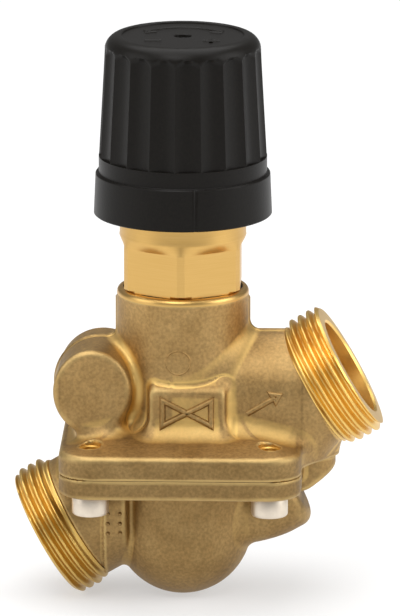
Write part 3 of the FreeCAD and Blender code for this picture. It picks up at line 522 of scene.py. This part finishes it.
def forging_piece(name, outside, rooms, low, high, voxel):
    """Mesh of a forging less its rooms: sampled on a grid, then drawn onto the true surface."""
    def solid(x, y, z):
        return np.maximum(outside(x, y, z), -rooms(x, y, z))

    low = np.array(low)
    axes = [np.arange(a, b, voxel) for a, b in zip(low, high)]
    samples = solid(axes[0][:, None, None], axes[1][None, :, None], axes[2][None, None, :])
    grid = openvdb.FloatGrid(background=voxel * 4)
    grid.copyFromArray(samples.astype(np.float32))
    points, quads = grid.convertToQuads(0.0)
    points = points.astype(float) * voxel + low
    probe = 0.02
    for _ in range(3):
        distance = solid(*points.T)
        slope = np.empty_like(points)
        for axis in range(3):
            step = np.zeros(3)
            step[axis] = probe
            slope[:, axis] = (solid(*(points + step).T) - solid(*(points - step).T)) / (2 * probe)
        square = np.maximum((slope ** 2).sum(axis=1), 0.25)
        move = np.clip(distance / square, -voxel / 2, voxel / 2)
        points -= slope * move[:, None]
    a, b, c, d = (points[quads[:, i]] for i in range(4))
    middles = (a + b + c + d) / 4
    if np.einsum("ij,ij->", np.cross(c - a, d - b), middles) < 0:
        quads = quads[:, ::-1]
    piece = new_piece(name, points, quads.tolist(), FORGED, 50.0)
    piece.data.materials.append(TURNED)
    machined = rooms(*middles.T) < 0.06
    piece.data.polygons.foreach_set("material_index", machined.astype(np.int32))

    reach = 0.6
    bend = -6 * solid(*points.T)
    for step in np.eye(3) * reach:
        bend += solid(*(points + step).T) + solid(*(points - step).T)
    flange_side = np.abs(flange_plan(points[:, 0], points[:, 1])) < 0.2
    for label, values in (("edge", bend / reach ** 2), ("trimmed", flange_side)):
        layer = piece.data.attributes.new(label, "FLOAT", "POINT")
        layer.data.foreach_set("value", values.astype(np.float32))
    return piece


def lathe(profile, columns, radius_rule=None):
    """Closed ring of quads from (radius, height) corners turned round Z; a rule may shape the radius."""
    points = []
    faces = []
    rows = len(profile)
    for angle in columns:
        for r, z in profile:
            at = radius_rule(r, z, angle) if radius_rule else r
            points.append((at * math.cos(angle), at * math.sin(angle), z))
    count = len(columns)
    for i in range(count):
        j = (i + 1) % count
        for k in range(rows):
            n = (k + 1) % rows
            faces.append((i * rows + k, j * rows + k, j * rows + n, i * rows + n))
    return np.array(points), faces


def evenly(count, start=0.0):
    """Angles of a full turn in equal steps."""
    return [start + 2 * math.pi * k / count for k in range(count)]


def rows_between(a, b, step):
    """Corners from a to b along a straight line, about one step apart."""
    count = max(int(math.hypot(b[0] - a[0], b[1] - a[1]) / step), 1)
    return [(a[0] + (b[0] - a[0]) * k / count, a[1] + (b[1] - a[1]) * k / count) for k in range(count + 1)]


def shaped_by(piece, tree, **sizes):
    """Run a geometry tree on a piece with these inputs, and keep the result as its plain mesh."""
    modifier = piece.modifiers.new("shape", "NODES")
    modifier.node_group = tree
    for item in tree.interface.items_tree:
        if item.name in sizes:
            modifier[item.identifier] = sizes[item.name]
    piece.data.update()
    bpy.context.view_layer.update()
    evaluated = piece.evaluated_get(bpy.context.evaluated_depsgraph_get())
    mesh = bpy.data.meshes.new_from_object(evaluated)
    piece.modifiers.clear()
    piece.data = mesh
    return piece


def new_tree(name, **inputs):
    """Geometry tree with a geometry socket each way and named number inputs."""
    tree = bpy.data.node_groups.new(name, "GeometryNodeTree")
    tree.interface.new_socket("Geometry", in_out="INPUT", socket_type="NodeSocketGeometry")
    tree.interface.new_socket("Geometry", in_out="OUTPUT", socket_type="NodeSocketGeometry")
    for label, kind in inputs.items():
        tree.interface.new_socket(label, in_out="INPUT", socket_type=kind)
    return tree, add(tree, "NodeGroupInput").outputs


def end_tree(tree, geometry, material):
    """Close a tree: real meshes, one material, then out."""
    real = add(tree, "GeometryNodeRealizeInstances", {"Geometry": geometry})
    painted = add(tree, "GeometryNodeSetMaterial", {"Geometry": real, "Material": material})
    add(tree, "NodeGroupOutput", {"Geometry": painted})


def thread_tree():
    """Screw thread cut into a plain ring: flanks follow a helix, and fade out at the ring's two ends."""
    number = "NodeSocketFloat"
    tree, given = new_tree("screw_thread", Pitch=number, Root=number, Depth=number, Start=number,
                           Length=number, End=number, Phase=number, Material="NodeSocketMaterial")
    place = add(tree, "GeometryNodeInputPosition")
    spot = add(tree, "ShaderNodeSeparateXYZ", {0: place}).outputs
    flat = add(tree, "ShaderNodeVectorMath", {0: place, 1: (1.0, 1.0, 0.0)}, operation="MULTIPLY")
    radius = add(tree, "ShaderNodeVectorMath", {0: flat}, operation="LENGTH").outputs["Value"]
    angle = add(tree, "ShaderNodeMath", {0: spot["Y"], 1: spot["X"]}, operation="ARCTAN2")

    height = add(tree, "ShaderNodeMath", {0: spot["Z"], 1: given["Start"]}, operation="SUBTRACT")
    climbed = add(tree, "ShaderNodeMath", {0: height, 1: given["Pitch"]}, operation="DIVIDE")
    turned = add(tree, "ShaderNodeMath", {0: angle, 1: 2 * math.pi}, operation="DIVIDE")
    turns = add(tree, "ShaderNodeMath", {0: climbed, 1: turned}, operation="SUBTRACT")
    shifted = add(tree, "ShaderNodeMath", {0: turns, 1: given["Phase"]}, operation="ADD")
    step = add(tree, "ShaderNodeMath", {0: shifted}, operation="FRACT")
    side = add(tree, "ShaderNodeMath", {0: step, 1: 2.0, 2: -1.0}, operation="MULTIPLY_ADD")
    wave = add(tree, "ShaderNodeMath", {0: side}, operation="ABSOLUTE")
    flank = add(tree, "ShaderNodeMapRange", {"Value": wave, "From Min": 0.1, "From Max": 0.9},
                interpolation_type="SMOOTHSTEP")

    fade = add(tree, "ShaderNodeMapRange", {"Value": height, "From Max": given["Pitch"]})
    share = add(tree, "ShaderNodeMath", {0: flank, 1: fade}, operation="MULTIPLY")
    crest = add(tree, "ShaderNodeMath", {0: share, 1: given["Depth"], 2: given["Root"]},
                operation="MULTIPLY_ADD")
    left = add(tree, "ShaderNodeMath", {0: given["Length"], 1: height}, operation="SUBTRACT")
    chamfer = add(tree, "ShaderNodeMath", {0: left, 1: given["End"]}, operation="ADD")
    final = add(tree, "ShaderNodeMath", {0: crest, 1: chamfer}, operation="MINIMUM")

    outward = add(tree, "ShaderNodeVectorMath", {0: flat}, operation="NORMALIZE")
    same_height = add(tree, "ShaderNodeCombineXYZ", {"Z": spot["Z"]})
    moved = add(tree, "ShaderNodeVectorMath", {0: outward, 1: final, 2: same_height},
                operation="MULTIPLY_ADD")
    inside = add(tree, "ShaderNodeMath", {0: given["Root"], 1: 0.05}, operation="SUBTRACT")
    outer = add(tree, "ShaderNodeMath", {0: radius, 1: inside}, operation="GREATER_THAN")
    cut = add(tree, "GeometryNodeSetPosition", {"Geometry": given["Geometry"], "Selection": outer,
                                                "Position": moved})
    end_tree(tree, cut, given["Material"])
    return tree


def flute_tree():
    """Hollow flutes round a tapered grip: straight lines that run out on the shoulder."""
    number = "NodeSocketFloat"
    tree, given = new_tree("grip_flutes", Flutes=number, Depth=number, Ridge=number, Low=number, High=number,
                           LowRadius=number, HighRadius=number, Arch=number, Inner=number,
                           Material="NodeSocketMaterial")
    place = add(tree, "GeometryNodeInputPosition")
    spot = add(tree, "ShaderNodeSeparateXYZ", {0: place}).outputs
    flat = add(tree, "ShaderNodeVectorMath", {0: place, 1: (1.0, 1.0, 0.0)}, operation="MULTIPLY")
    radius = add(tree, "ShaderNodeVectorMath", {0: flat}, operation="LENGTH").outputs["Value"]
    angle = add(tree, "ShaderNodeMath", {0: spot["Y"], 1: spot["X"]}, operation="ARCTAN2")

    past_ridge = add(tree, "ShaderNodeMath", {0: angle, 1: given["Ridge"]}, operation="SUBTRACT")
    turned = add(tree, "ShaderNodeMath", {0: past_ridge, 1: 2 * math.pi}, operation="DIVIDE")
    flutes = add(tree, "ShaderNodeMath", {0: turned, 1: given["Flutes"]}, operation="MULTIPLY")
    step = add(tree, "ShaderNodeMath", {0: flutes}, operation="FRACT")
    side = add(tree, "ShaderNodeMath", {0: step, 1: 2.0, 2: -1.0}, operation="MULTIPLY_ADD")
    square = add(tree, "ShaderNodeMath", {0: side, 1: side}, operation="MULTIPLY")
    bowl = add(tree, "ShaderNodeMath", {0: 1.0, 1: square}, operation="SUBTRACT")

    arch = add(tree, "ShaderNodeMath", {0: spot["Z"], 1: square}, operation="ADD")
    left = add(tree, "ShaderNodeMath", {0: given["Arch"], 1: arch}, operation="SUBTRACT")
    ending = add(tree, "ShaderNodeMapRange", {"Value": left, "From Max": 0.7})
    hollow = add(tree, "ShaderNodeMath", {0: bowl, 1: ending}, operation="MULTIPLY")
    line = add(tree, "ShaderNodeMapRange", {"Value": spot["Z"], "From Min": given["Low"],
                                            "From Max": given["High"], "To Min": given["LowRadius"],
                                            "To Max": given["HighRadius"]}, clamp=False)
    depth = add(tree, "ShaderNodeMath", {0: hollow, 1: given["Depth"]}, operation="MULTIPLY")
    groove = add(tree, "ShaderNodeMath", {0: line, 1: depth}, operation="SUBTRACT")
    final = add(tree, "ShaderNodeMath", {0: radius, 1: groove}, operation="MINIMUM")

    outward = add(tree, "ShaderNodeVectorMath", {0: flat}, operation="NORMALIZE")
    same_height = add(tree, "ShaderNodeCombineXYZ", {"Z": spot["Z"]})
    moved = add(tree, "ShaderNodeVectorMath", {0: outward, 1: final, 2: same_height},
                operation="MULTIPLY_ADD")
    above = add(tree, "ShaderNodeMath", {0: spot["Z"], 1: given["Low"]}, operation="GREATER_THAN")
    outer = add(tree, "ShaderNodeMath", {0: radius, 1: given["Inner"]}, operation="GREATER_THAN")
    grip = add(tree, "ShaderNodeMath", {0: above, 1: outer}, operation="MULTIPLY")
    cut = add(tree, "GeometryNodeSetPosition", {"Geometry": given["Geometry"], "Selection": grip,
                                                "Position": moved})
    end_tree(tree, cut, given["Material"])
    return tree


def corner_tree():
    """One piece repeated at the four corners of a square."""
    tree, given = new_tree("four_corners", Spacing="NodeSocketFloat", Material="NodeSocketMaterial")
    corners = add(tree, "GeometryNodeMeshGrid", {"Size X": given["Spacing"], "Size Y": given["Spacing"],
                                                 "Vertices X": 2, "Vertices Y": 2})
    copies = add(tree, "GeometryNodeInstanceOnPoints", {"Points": corners, "Instance": given["Geometry"]})
    end_tree(tree, copies, given["Material"])
    return tree


def stud_tree():
    """Small round studs, one on each point of a mesh."""
    tree, given = new_tree("round_studs", Radius="NodeSocketFloat", Material="NodeSocketMaterial")
    stud = add(tree, "GeometryNodeMeshIcoSphere", {"Radius": given["Radius"], "Subdivisions": 2})
    copies = add(tree, "GeometryNodeInstanceOnPoints", {"Points": given["Geometry"], "Instance": stud})
    end_tree(tree, copies, given["Material"])
    return tree


def coil_tree():
    """Round wire wound along a helix, with closed ends."""
    number = "NodeSocketFloat"
    tree, given = new_tree("wound_spring", Radius=number, Wire=number, Height=number, Turns=number,
                           Material="NodeSocketMaterial")
    path = add(tree, "GeometryNodeCurveSpiral", {"Resolution": 40, "Rotations": given["Turns"],
                                                 "Start Radius": given["Radius"],
                                                 "End Radius": given["Radius"], "Height": given["Height"]})
    section = add(tree, "GeometryNodeCurvePrimitiveCircle", {"Resolution": 14, "Radius": given["Wire"]})
    wire = add(tree, "GeometryNodeCurveToMesh", {"Curve": path, "Profile Curve": section, "Fill Caps": True})
    end_tree(tree, wire, given["Material"])
    return tree


def rule_piece(name, points, faces, material, tree, sharp, turn=None, **sizes):
    """Piece shaped by a tree in millimetres on its own axis, then turned and moved to its place."""
    mesh = bpy.data.meshes.new(name)
    mesh.from_pydata(points, [], faces)
    mesh.materials.append(material)
    piece = bpy.data.objects.new(name, mesh)
    bpy.context.scene.collection.objects.link(piece)
    shaped_by(piece, tree, Material=material, **sizes)
    to_place = Matrix.Scale(MM, 4) @ Matrix.Translation(Vector(FOOT)) @ (turn or Matrix())
    piece.data.transform(to_place)
    piece.data.shade_smooth()
    piece.data.set_sharp_from_angle(angle=math.radians(sharp))
    return piece


def join_to_valve(piece, slot, body="valve_body", *nodes):
    """Let a piece move with a body, and let it stand for these solids; the finish given as slot is not used.
    """
    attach(piece, body)
    if nodes:
        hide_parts(*nodes)


# The two forgings
upper = forging_piece("upper_forging", upper_forging, upper_rooms, (-26, -25, -1.6), (38, 25, 34.4), 0.4)
join_to_valve(upper, "forged_brass", "valve_body", "upper_body")
lower = forging_piece("lower_forging", lower_forging, lower_rooms, (-33, -25, -29), (32, 25, 1.6), 0.4)
join_to_valve(lower, "forged_brass", "valve_body", "lower_body")

# Machined rim on the neck's top
RIM_R = NECK_R + 0.01
RIM_INNER_R = 11.4
RIM_FLOOR = NECK_TOP - 1.4
rim_low = NECK_TOP - RIM - 0.3
rim_profile = [(CHAMBER_R, rim_low), (RIM_R, rim_low)]
for k in range(7):
    quarter = math.pi / 2 * k / 6
    rim_profile.append((RIM_R - RIM + RIM * math.cos(quarter), NECK_TOP - RIM + RIM * math.sin(quarter)))
rim_profile += [(RIM_INNER_R, NECK_TOP), (RIM_INNER_R, RIM_FLOOR), (CHAMBER_R, RIM_FLOOR)]
rim = new_piece("neck_rim", *lathe(rim_profile, evenly(160)), TURNED)
join_to_valve(rim, "forged_brass")

# Pipe threads: 14 to the inch, cut from the port's face back to its undercut
THREAD_RULE = thread_tree()
PIPE_PITCH = 1.814
PIPE_ROOT_R = 12.06
PIPE_DEPTH = 1.16
PIPE_END_R = 12.42
pipe_line = Vector((math.cos(TILT), 0, math.sin(TILT)))
for port, reach, length, side, phase in (("outlet", OUTLET_REACH, OUTLET_THREAD, 1, 0.3),
                                         ("inlet", INLET_REACH, INLET_THREAD, -1, 0.0)):
    ring = [(PORT_BORE_R, 0.0), (11.6, 0.0)]
    ring += rows_between((PIPE_ROOT_R, 0.02), (PIPE_ROOT_R, length - 0.02), 0.11)
    ring += [(12.0, length), (10.0, length), (PORT_BORE_R, length - 0.4)]
    turn = Matrix.Rotation(side * math.pi / 2 - TILT, 4, "Y")
    start = Vector((0, 0, -PIPE_DROP)) + pipe_line * side * (reach - length)
    thread = rule_piece(port + "_thread", *lathe(ring, evenly(168)), THREADED, THREAD_RULE, 40.0,
                        Matrix.Translation(start) @ turn, Pitch=PIPE_PITCH, Root=PIPE_ROOT_R,
                        Depth=PIPE_DEPTH, Start=0.0, Length=length, End=PIPE_END_R, Phase=phase)
    join_to_valve(thread, "forged_brass")

# Control insert: shank, hexagon, collar and actuator thread
FIRST_FLAT = math.radians(-60)
SIXTH = math.pi / 3
flat_end = math.acos(HEX_HALF / HEX_CORNER_R)
hex_columns = []
for k in range(6):
    middle = FIRST_FLAT + SIXTH * k
    hex_columns += [middle + flat_end * f for f in (-1, -0.75, -0.5, -0.25, 0, 0.25, 0.5, 0.75, 1)]
    hex_columns.append(middle + SIXTH / 2)


def hex_radius(r, z, angle):
    """Radius of the insert: six flats milled into the round bar, with a rounded rise to the collar."""
    if not (NECK_TOP < z < HEX_TOP + RUN_OUT and r > HEX_HALF - 0.5):
        return r
    from_flat = (angle - FIRST_FLAT + SIXTH / 2) % SIXTH - SIXTH / 2
    flat = min(HEX_HALF / math.cos(from_flat), r)
    left = min((HEX_TOP + RUN_OUT - z) / RUN_OUT, 1)
    return min(r - (r - flat) * left ** RUN_OUT_CURVE, HEX_FOOT_R + (z - NECK_TOP) * HEX_FOOT_RISE)


collar_low = HEX_TOP + RUN_OUT
insert_profile = [(8.2, 21.5), (10.4, 21.5), (10.4, NECK_TOP + 0.02), (11.5, NECK_TOP + 0.04)]
insert_profile += [(11.8, NECK_TOP + 0.25), (HEX_CORNER_R, NECK_TOP + 0.5)]
insert_profile += rows_between((HEX_CORNER_R, NECK_TOP + 1.5), (HEX_CORNER_R, HEX_TOP - 0.3), 1.2)
insert_profile += rows_between((HEX_CORNER_R, HEX_TOP), (12.1, collar_low - 0.02), 0.15)
insert_profile += [(12.1, collar_low), (12.05, collar_low + 0.3), (12.0, COLLAR_TOP)]
insert_profile += [(14.0, COLLAR_TOP + 0.01), (ACTUATOR_R, COLLAR_TOP + 0.9), (ACTUATOR_R, 53.2)]
insert_profile += [(14.2, ACTUATOR_TOP), (9.2, ACTUATOR_TOP), (9.2, INSERT_END), (5.0, INSERT_END)]
insert_profile += [(5.0, 28.6), (8.2, 28.6)]
insert = new_piece("control_insert", *lathe(insert_profile, hex_columns, hex_radius), TURNED, 28.0)
join_to_valve(insert, "machined_brass", "valve_body", "insert_housing")

# Hand cap
round_low = CAP_TOP - CAP_ROUND
cap_profile = [(15.25, CAP_LOW), (16.75, CAP_LOW), (16.95, CAP_LOW + 0.2), (16.62, 54.8), (16.45, 55.05),
               (16.12, 55.07), (GRIP_LOW_R, COLLAR_RIM), (GRIP_LOW_R, BAND_TOP - 0.02)]
cap_profile += rows_between((GRIP_LOW_R, BAND_TOP + 0.02), (15.0, 76.0), 0.8)
cap_profile += rows_between((14.99, 76.2), (14.88, round_low), 0.2)
for k in range(1, 15):
    quarter = math.pi / 2 * k / 14
    cap_profile.append((12.1 + 2.78 * math.cos(quarter), round_low + CAP_ROUND * math.sin(quarter)))
cap_profile += [(11.8, CAP_TOP), (11.6, CAP_TOP - 0.12), (11.55, CAP_DISC), (1.8, CAP_DISC),
                (1.62, CAP_TOP - 0.45), (1.62, 69.9), (3.4, 69.9), (3.4, 78.9), (12.3, 78.9), (13.6, 56.8),
                (15.25, 56.8)]
cap_columns = FLUTES * FLUTE_COLUMNS
SEAM = FIRST_RIDGE - 4 * 2 * math.pi / cap_columns


def seam_radius(r, z, angle):
    """Radius of the cap: a fine groove down the collar where the mould closed."""
    on_seam = abs(angle - 2 * math.pi - SEAM) < 0.001
    return r - SEAM_DEPTH if on_seam and r > COLLAR_INNER_R and z < COLLAR_RIM else r


cap_shape = lathe(cap_profile, evenly(cap_columns, FIRST_RIDGE), seam_radius)
cap = rule_piece("fluted_cap", *cap_shape, CAP_BLACK, flute_tree(), 30.0, Arch=FLUTE_ARCH,
                 Flutes=float(FLUTES), Depth=FLUTE_DEPTH, Ridge=FIRST_RIDGE, Low=BAND_TOP, High=GRIP_TOP,
                 LowRadius=GRIP_LOW_R, HighRadius=GRIP_TOP_R, Inner=GRIP_INNER_R)
join_to_valve(cap, "black_plastic", "cap", "cap")

# Flange screws and the tapped holes' threads
CORNER_RULE = corner_tree()
SOCKET = 1.73
HEAD = 4.0
HEAD_R = 3.5
SHANK_R = 2.0
SCREW_END = 3.2
TAPPED_PITCH = 0.6
TAPPED_LOW = 3.3


def socket_radius(r, z, angle):
    """Six-sided socket in the screw's head; everything wider stays round."""
    if r > SOCKET + 0.01:
        return r
    return r * math.cos(math.pi / 6) / math.cos(angle % (math.pi / 3) - math.pi / 6)


head_low = -LOWER_FLANGE - HEAD
screw_profile = [(0.001, head_low + 2.2), (SOCKET, head_low + 2.0), (SOCKET, head_low), (2.9, head_low),
                 (3.25, head_low + 0.07), (3.45, head_low + 0.28), (HEAD_R, head_low + 0.6),
                 (HEAD_R, -LOWER_FLANGE - 0.15), (HEAD_R - 0.1, -LOWER_FLANGE), (SHANK_R, -LOWER_FLANGE),
                 (SHANK_R, 2.9), (1.7, SCREW_END), (0.001, SCREW_END)]
screw = lathe(screw_profile, evenly(48), socket_radius)
screws = rule_piece("socket_screws", *screw, ZINC, CORNER_RULE, 35.0, Spacing=SCREW_SPACING)
join_to_valve(screws, "plated_steel", "valve_body", "flange_screws")

hole_profile = [(2.3, TAPPED_LOW)]
for k in range(3):
    groove = TAPPED_LOW + TAPPED_PITCH * k
    hole_profile += [(1.95, groove), (1.7, groove + 0.2), (1.7, groove + 0.3), (1.95, groove + 0.5)]
hole_profile += [(2.3, TAPPED_LOW + 3 * TAPPED_PITCH)]
hole = lathe(hole_profile[::-1], evenly(40))
hole_threads = rule_piece("tapped_threads", *hole, THREADED, CORNER_RULE, 35.0, Spacing=SCREW_SPACING)
join_to_valve(hole_threads, "forged_brass")

# Springs: each is wound where its solid stands, and rides on one body
COIL_RULE = coil_tree()
for purpose, body, wire, turns in (("spindle", "preset", 0.35, 9.0), ("regulator", "valve_body", 0.6, 5.0)):
    node = purpose + "_spring"
    low, high = (np.array(corner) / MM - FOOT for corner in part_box(node))
    tall = high[2] - low[2]
    coil = rule_piece(purpose + "_coil", [], [], STAINLESS, COIL_RULE, 60.0,
                      Matrix.Translation((0.0, 0.0, low[2] + wire)), Radius=(high[0] - low[0]) / 2 - wire,
                      Wire=wire, Height=tall - 2 * wire, Turns=turns)
    join_to_valve(coil, "stainless_steel", body, node)
    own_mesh(coil)

# Rolled membrane: twelve sectors, each arching from the rim held in the flanges to the sleeve
SECTORS = 12
MEMBRANE_LOW = -1.05
MEMBRANE_THICK = 1.0
ROLL_MIDDLE = 11.7
ROLL_RISE = 1.5
MEMBRANE_INNER_R = 6.95
MEMBRANE_OUTER_R = 17.9


def roll(half, base):
    """Corners of the membrane's rolled arch, from its inner to its outer foot."""
    radius = (half ** 2 + ROLL_RISE ** 2) / (2 * ROLL_RISE)
    sweep = math.acos(1 - ROLL_RISE / radius)
    turns = [sweep * (k / 8 - 1) for k in range(17)]
    centre = base + ROLL_RISE - radius
    return [(ROLL_MIDDLE + radius * math.sin(a), centre + radius * math.cos(a)) for a in turns]


membrane_top = MEMBRANE_LOW + MEMBRANE_THICK
membrane_profile = [(MEMBRANE_INNER_R, MEMBRANE_LOW)] + roll(1.3, MEMBRANE_LOW)
membrane_profile += [(MEMBRANE_OUTER_R, MEMBRANE_LOW), (MEMBRANE_OUTER_R, membrane_top)]
membrane_profile += roll(1.8, membrane_top)[::-1] + [(MEMBRANE_INNER_R, membrane_top)]
rows = len(membrane_profile)
half_sector = math.pi / SECTORS
for k in range(SECTORS):
    middle = 2 * math.pi * k / SECTORS
    columns = [middle + half_sector * (step / 3 - 1) for step in range(7)]
    points, faces = lathe(membrane_profile, columns)
    faces = faces[:-rows] + [tuple(range(rows)), tuple(range(7 * rows - 1, 6 * rows - 1, -1))]
    sector = new_piece(f"membrane_{k + 1}", points, faces, RUBBER)
    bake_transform(sector)
    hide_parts("diaphragm")

# Raised marks, drawn as rounded ridges on a surface


def ridge(path, normals, width, height, closed):
    """Rounded ridge along a path on a surface, with mitred corners."""
    section = [(-0.5, -0.35), (-0.42, 0.1), (-0.3, 0.6), (-0.14, 0.88), (0.14, 0.88), (0.3, 0.6), (0.42, 0.1),
               (0.5, -0.35)]
    path = np.asarray(path, float)
    normals = np.asarray(normals, float)
    count = len(path)
    points = []
    for i in range(count):
        before = path[i] - path[i - 1] if i or closed else path[1] - path[0]
        after = path[(i + 1) % count] - path[i] if i + 1 < count or closed else before
        before = before / np.linalg.norm(before)
        after = after / np.linalg.norm(after)
        side = np.cross(normals[i], before) + np.cross(normals[i], after)
        side /= max(np.linalg.norm(side), 1e-6)
        stretch = 1 / max(np.dot(side, np.cross(normals[i], after)), 0.45)
        for across, up in section:
            points.append(path[i] + side * (across * width * stretch) + normals[i] * (up * height))
    n = len(section)
    faces = []
    for i in range(count if closed else count - 1):
        j = (i + 1) % count
        for k in range(n):
            m = (k + 1) % n
            faces.append((i * n + k, j * n + k, j * n + m, i * n + m))
    if not closed:
        faces += [tuple(range(n)), tuple(range(count * n - 1, (count - 1) * n - 1, -1))]
    return points, faces


def on_surface(outside, x, z):
    """Point of a forging's front at this place in front view, and its outward direction."""
    far = -24.0
    near = -2.0
    for _ in range(40):
        y = (far + near) / 2
        if outside(np.array(x), np.array(y), np.array(z)) > 0:
            far = y
        else:
            near = y
    spot = np.array([x, near, z])
    out = np.array([float(outside(*(spot + e)) - outside(*(spot - e))) for e in np.eye(3) * 0.05])
    return spot, out / np.linalg.norm(out)


def drawn(outside, corners, width, height, closed, step=0.5):
    """Ridge on a forging's front along straight lines between corners given in front view."""
    stops = list(corners) + ([corners[0]] if closed else [])
    flat = []
    for a, b in zip(stops, stops[1:]):
        flat += rows_between(a, b, step)[:-1]
    if not closed:
        flat.append(stops[-1])
    found = [on_surface(outside, x, z) for x, z in flat]
    return ridge([p for p, n in found], [n for p, n in found], width, height, closed)


def merged(*shapes):
    """Points and faces of several shapes as one list of each."""
    points = []
    faces = []
    for some_points, some_faces in shapes:
        shift = len(points)
        points += [tuple(p) for p in some_points]
        faces += [tuple(i + shift for i in f) for f in some_faces]
    return points, faces


flow_shaft = drawn(upper_forging, [(12.6, 10.5), (17.6, 13.5)], 1.3, 0.45, False)
flow_head = drawn(upper_forging, [(17.1, 14.3), (18.7, 14.1), (18.0, 12.8)], 1.1, 0.45, True)
valve_sign = drawn(upper_forging, [(-3.4, 13.4), (-3.4, 8.6), (5.8, 13.4), (5.8, 8.6)], 1.35, 0.75, True)
RING_X = -0.5
RING_Z = 20.6
RING_R = 2.3
circle = [(RING_X + RING_R * math.cos(a), RING_Z + RING_R * math.sin(a)) for a in evenly(32)]
neck_ring = drawn(upper_forging, circle, 0.4, 0.12, True)
marks = new_piece("raised_marks", *merged(flow_shaft, flow_head, valve_sign, neck_ring), FORGED, 50.0)
join_to_valve(marks, "forged_brass")

DOT_COLUMNS = (-13.9, -11.6)
DOT_ROWS = (-9.2, -11.2, -13.2)
DOT_R = 0.42
dot_places = [on_surface(lower_forging, x, z)[0] for x in DOT_COLUMNS for z in DOT_ROWS]
dots = rule_piece("raised_dots", dot_places, [], FORGED, stud_tree(), 60.0, Radius=DOT_R)
join_to_valve(dots, "forged_brass")

level = np.array([0.0, 0.0, 1.0])
sweep = [math.radians(a) for a in range(20, 161, 7)]
arc = [(MARK_R * math.cos(a), MARK_R * math.sin(a), CAP_DISC) for a in sweep]
strokes = [arc]
for tip, back in ((arc[0], 1), (arc[-1], -1)):
    turn = math.atan2(tip[1], tip[0]) + back * 0.22
    inner, outer = ((r * math.cos(turn), r * math.sin(turn), CAP_DISC) for r in (MARK_R - 1.3, MARK_R + 1.3))
    strokes.append([inner, tip, outer])
for middle, bars in ((-5.5, ((1, 0),)), (5.5, ((1, 0), (0, 1)))):
    for across, up in bars:
        strokes.append([(middle + across * e, -4.5 + up * e, CAP_DISC) for e in (-1.6, 1.6)])
top_marks = [ridge(stroke, [level] * len(stroke), MARK_WIDTH, MARK_HEIGHT, False) for stroke in strokes]
cap_marks = new_piece("cap_marks", *merged(*top_marks), CAP_BLACK, 50.0)
join_to_valve(cap_marks, "black_plastic", "cap")

# Every solid that stays shows its own finish
shown_as = {row["node"]: row["material_slot"] for row in frame["record"]["subparts"]}
for node, carried in frame["nodes"].items():
    carried.data.materials.clear()
    carried.data.materials.append(SLOT_MATERIALS[shown_as[node]])

# Floor, light and camera
LOWEST = DOME_Z - DOME_R


def floor_board():
    """Matt white board: half of what is seen of it is plain white, so that the valve's shadow stays soft."""
    material, tree, shader, _ = new_material("matt_white_board")
    shader.inputs["Base Color"].default_value = linear("#f7f7f7")
    shader.inputs["Roughness"].default_value = 0.9
    ray = add(tree, "ShaderNodeLightPath").outputs
    mirrored = add(tree, "ShaderNodeMath", {0: ray["Is Glossy Ray"], 1: ray["Is Transmission Ray"]},
                   operation="ADD")
    seen = add(tree, "ShaderNodeMath", {0: ray["Is Camera Ray"], 1: mirrored}, operation="ADD")
    share = add(tree, "ShaderNodeMath", {0: seen, 1: 0.5}, operation="MULTIPLY")
    white = add(tree, "ShaderNodeEmission", {"Color": (1.0, 1.0, 1.0, 1.0), "Strength": 1.0})
    mixed = add(tree, "ShaderNodeMixShader", {0: share, 1: shader, 2: white})
    tree.links.new(mixed.outputs[0], tree.nodes["Material Output"].inputs["Surface"])
    return material


floor_mesh = bpy.data.meshes.new("floor")
FLOOR_HALF = 6.0
floor_z = (LOWEST + FOOT[2]) * MM
corners = [(FLOOR_HALF * x, FLOOR_HALF * y) for x, y in ((-1, -1), (1, -1), (1, 1), (-1, 1))]
floor_mesh.from_pydata([(x, y, floor_z) for x, y in corners], [], [(0, 1, 2, 3)])
floor_mesh.materials.append(floor_board())
floor = bpy.data.objects.new("floor", floor_mesh)
bpy.context.scene.collection.objects.link(floor)

world = bpy.data.worlds.new("studio")
bpy.context.scene.world = world
world.use_nodes = True
world.node_tree.nodes.clear()
sky = add(world.node_tree, "ShaderNodeBackground", {"Color": (1.0, 1.0, 1.0, 1.0), "Strength": 0.24})
add(world.node_tree, "ShaderNodeOutputWorld", {"Surface": sky})

TARGET = Vector((FOOT + np.array([3.24, 0.0, 28.3])) * MM)


def softbox(name, place, size, watts):
    """Square area lamp that faces the valve."""
    lamp = bpy.data.lights.new(name, "AREA")
    lamp.shape = "SQUARE"
    lamp.size = size
    lamp.energy = watts
    box = bpy.data.objects.new(name, lamp)
    box.location = place
    box.rotation_euler = (TARGET - Vector(place)).to_track_quat("-Z", "Y").to_euler()
    bpy.context.scene.collection.objects.link(box)


softbox("top_softbox", (0.0, 0.2, 1.2), 1.4, 15.5)
softbox("front_softbox", (-0.15, -0.75, 0.95), 0.6, 5.0)
softbox("left_softbox", (-1.0, -0.3, 0.5), 0.8, 4.0)
softbox("right_softbox", (1.0, -0.2, 0.5), 0.8, 6.0)

AZIMUTH = math.radians(2.0)
ELEVATION = math.radians(13.75)
DISTANCE = 1.8
lens = bpy.data.cameras.new("camera")
lens.sensor_fit = "VERTICAL"
lens.sensor_height = 36.0
lens.lens = 552.0
lens.clip_end = 30.0
camera = bpy.data.objects.new("camera", lens)
camera.location = TARGET + DISTANCE * Vector((math.sin(AZIMUTH) * math.cos(ELEVATION),
                                              -math.cos(AZIMUTH) * math.cos(ELEVATION), math.sin(ELEVATION)))
camera.rotation_euler = (TARGET - camera.location).to_track_quat("-Z", "Y").to_euler()
bpy.context.scene.collection.objects.link(camera)
bpy.context.scene.camera = camera
bpy.context.scene.view_settings.view_transform = "Standard"
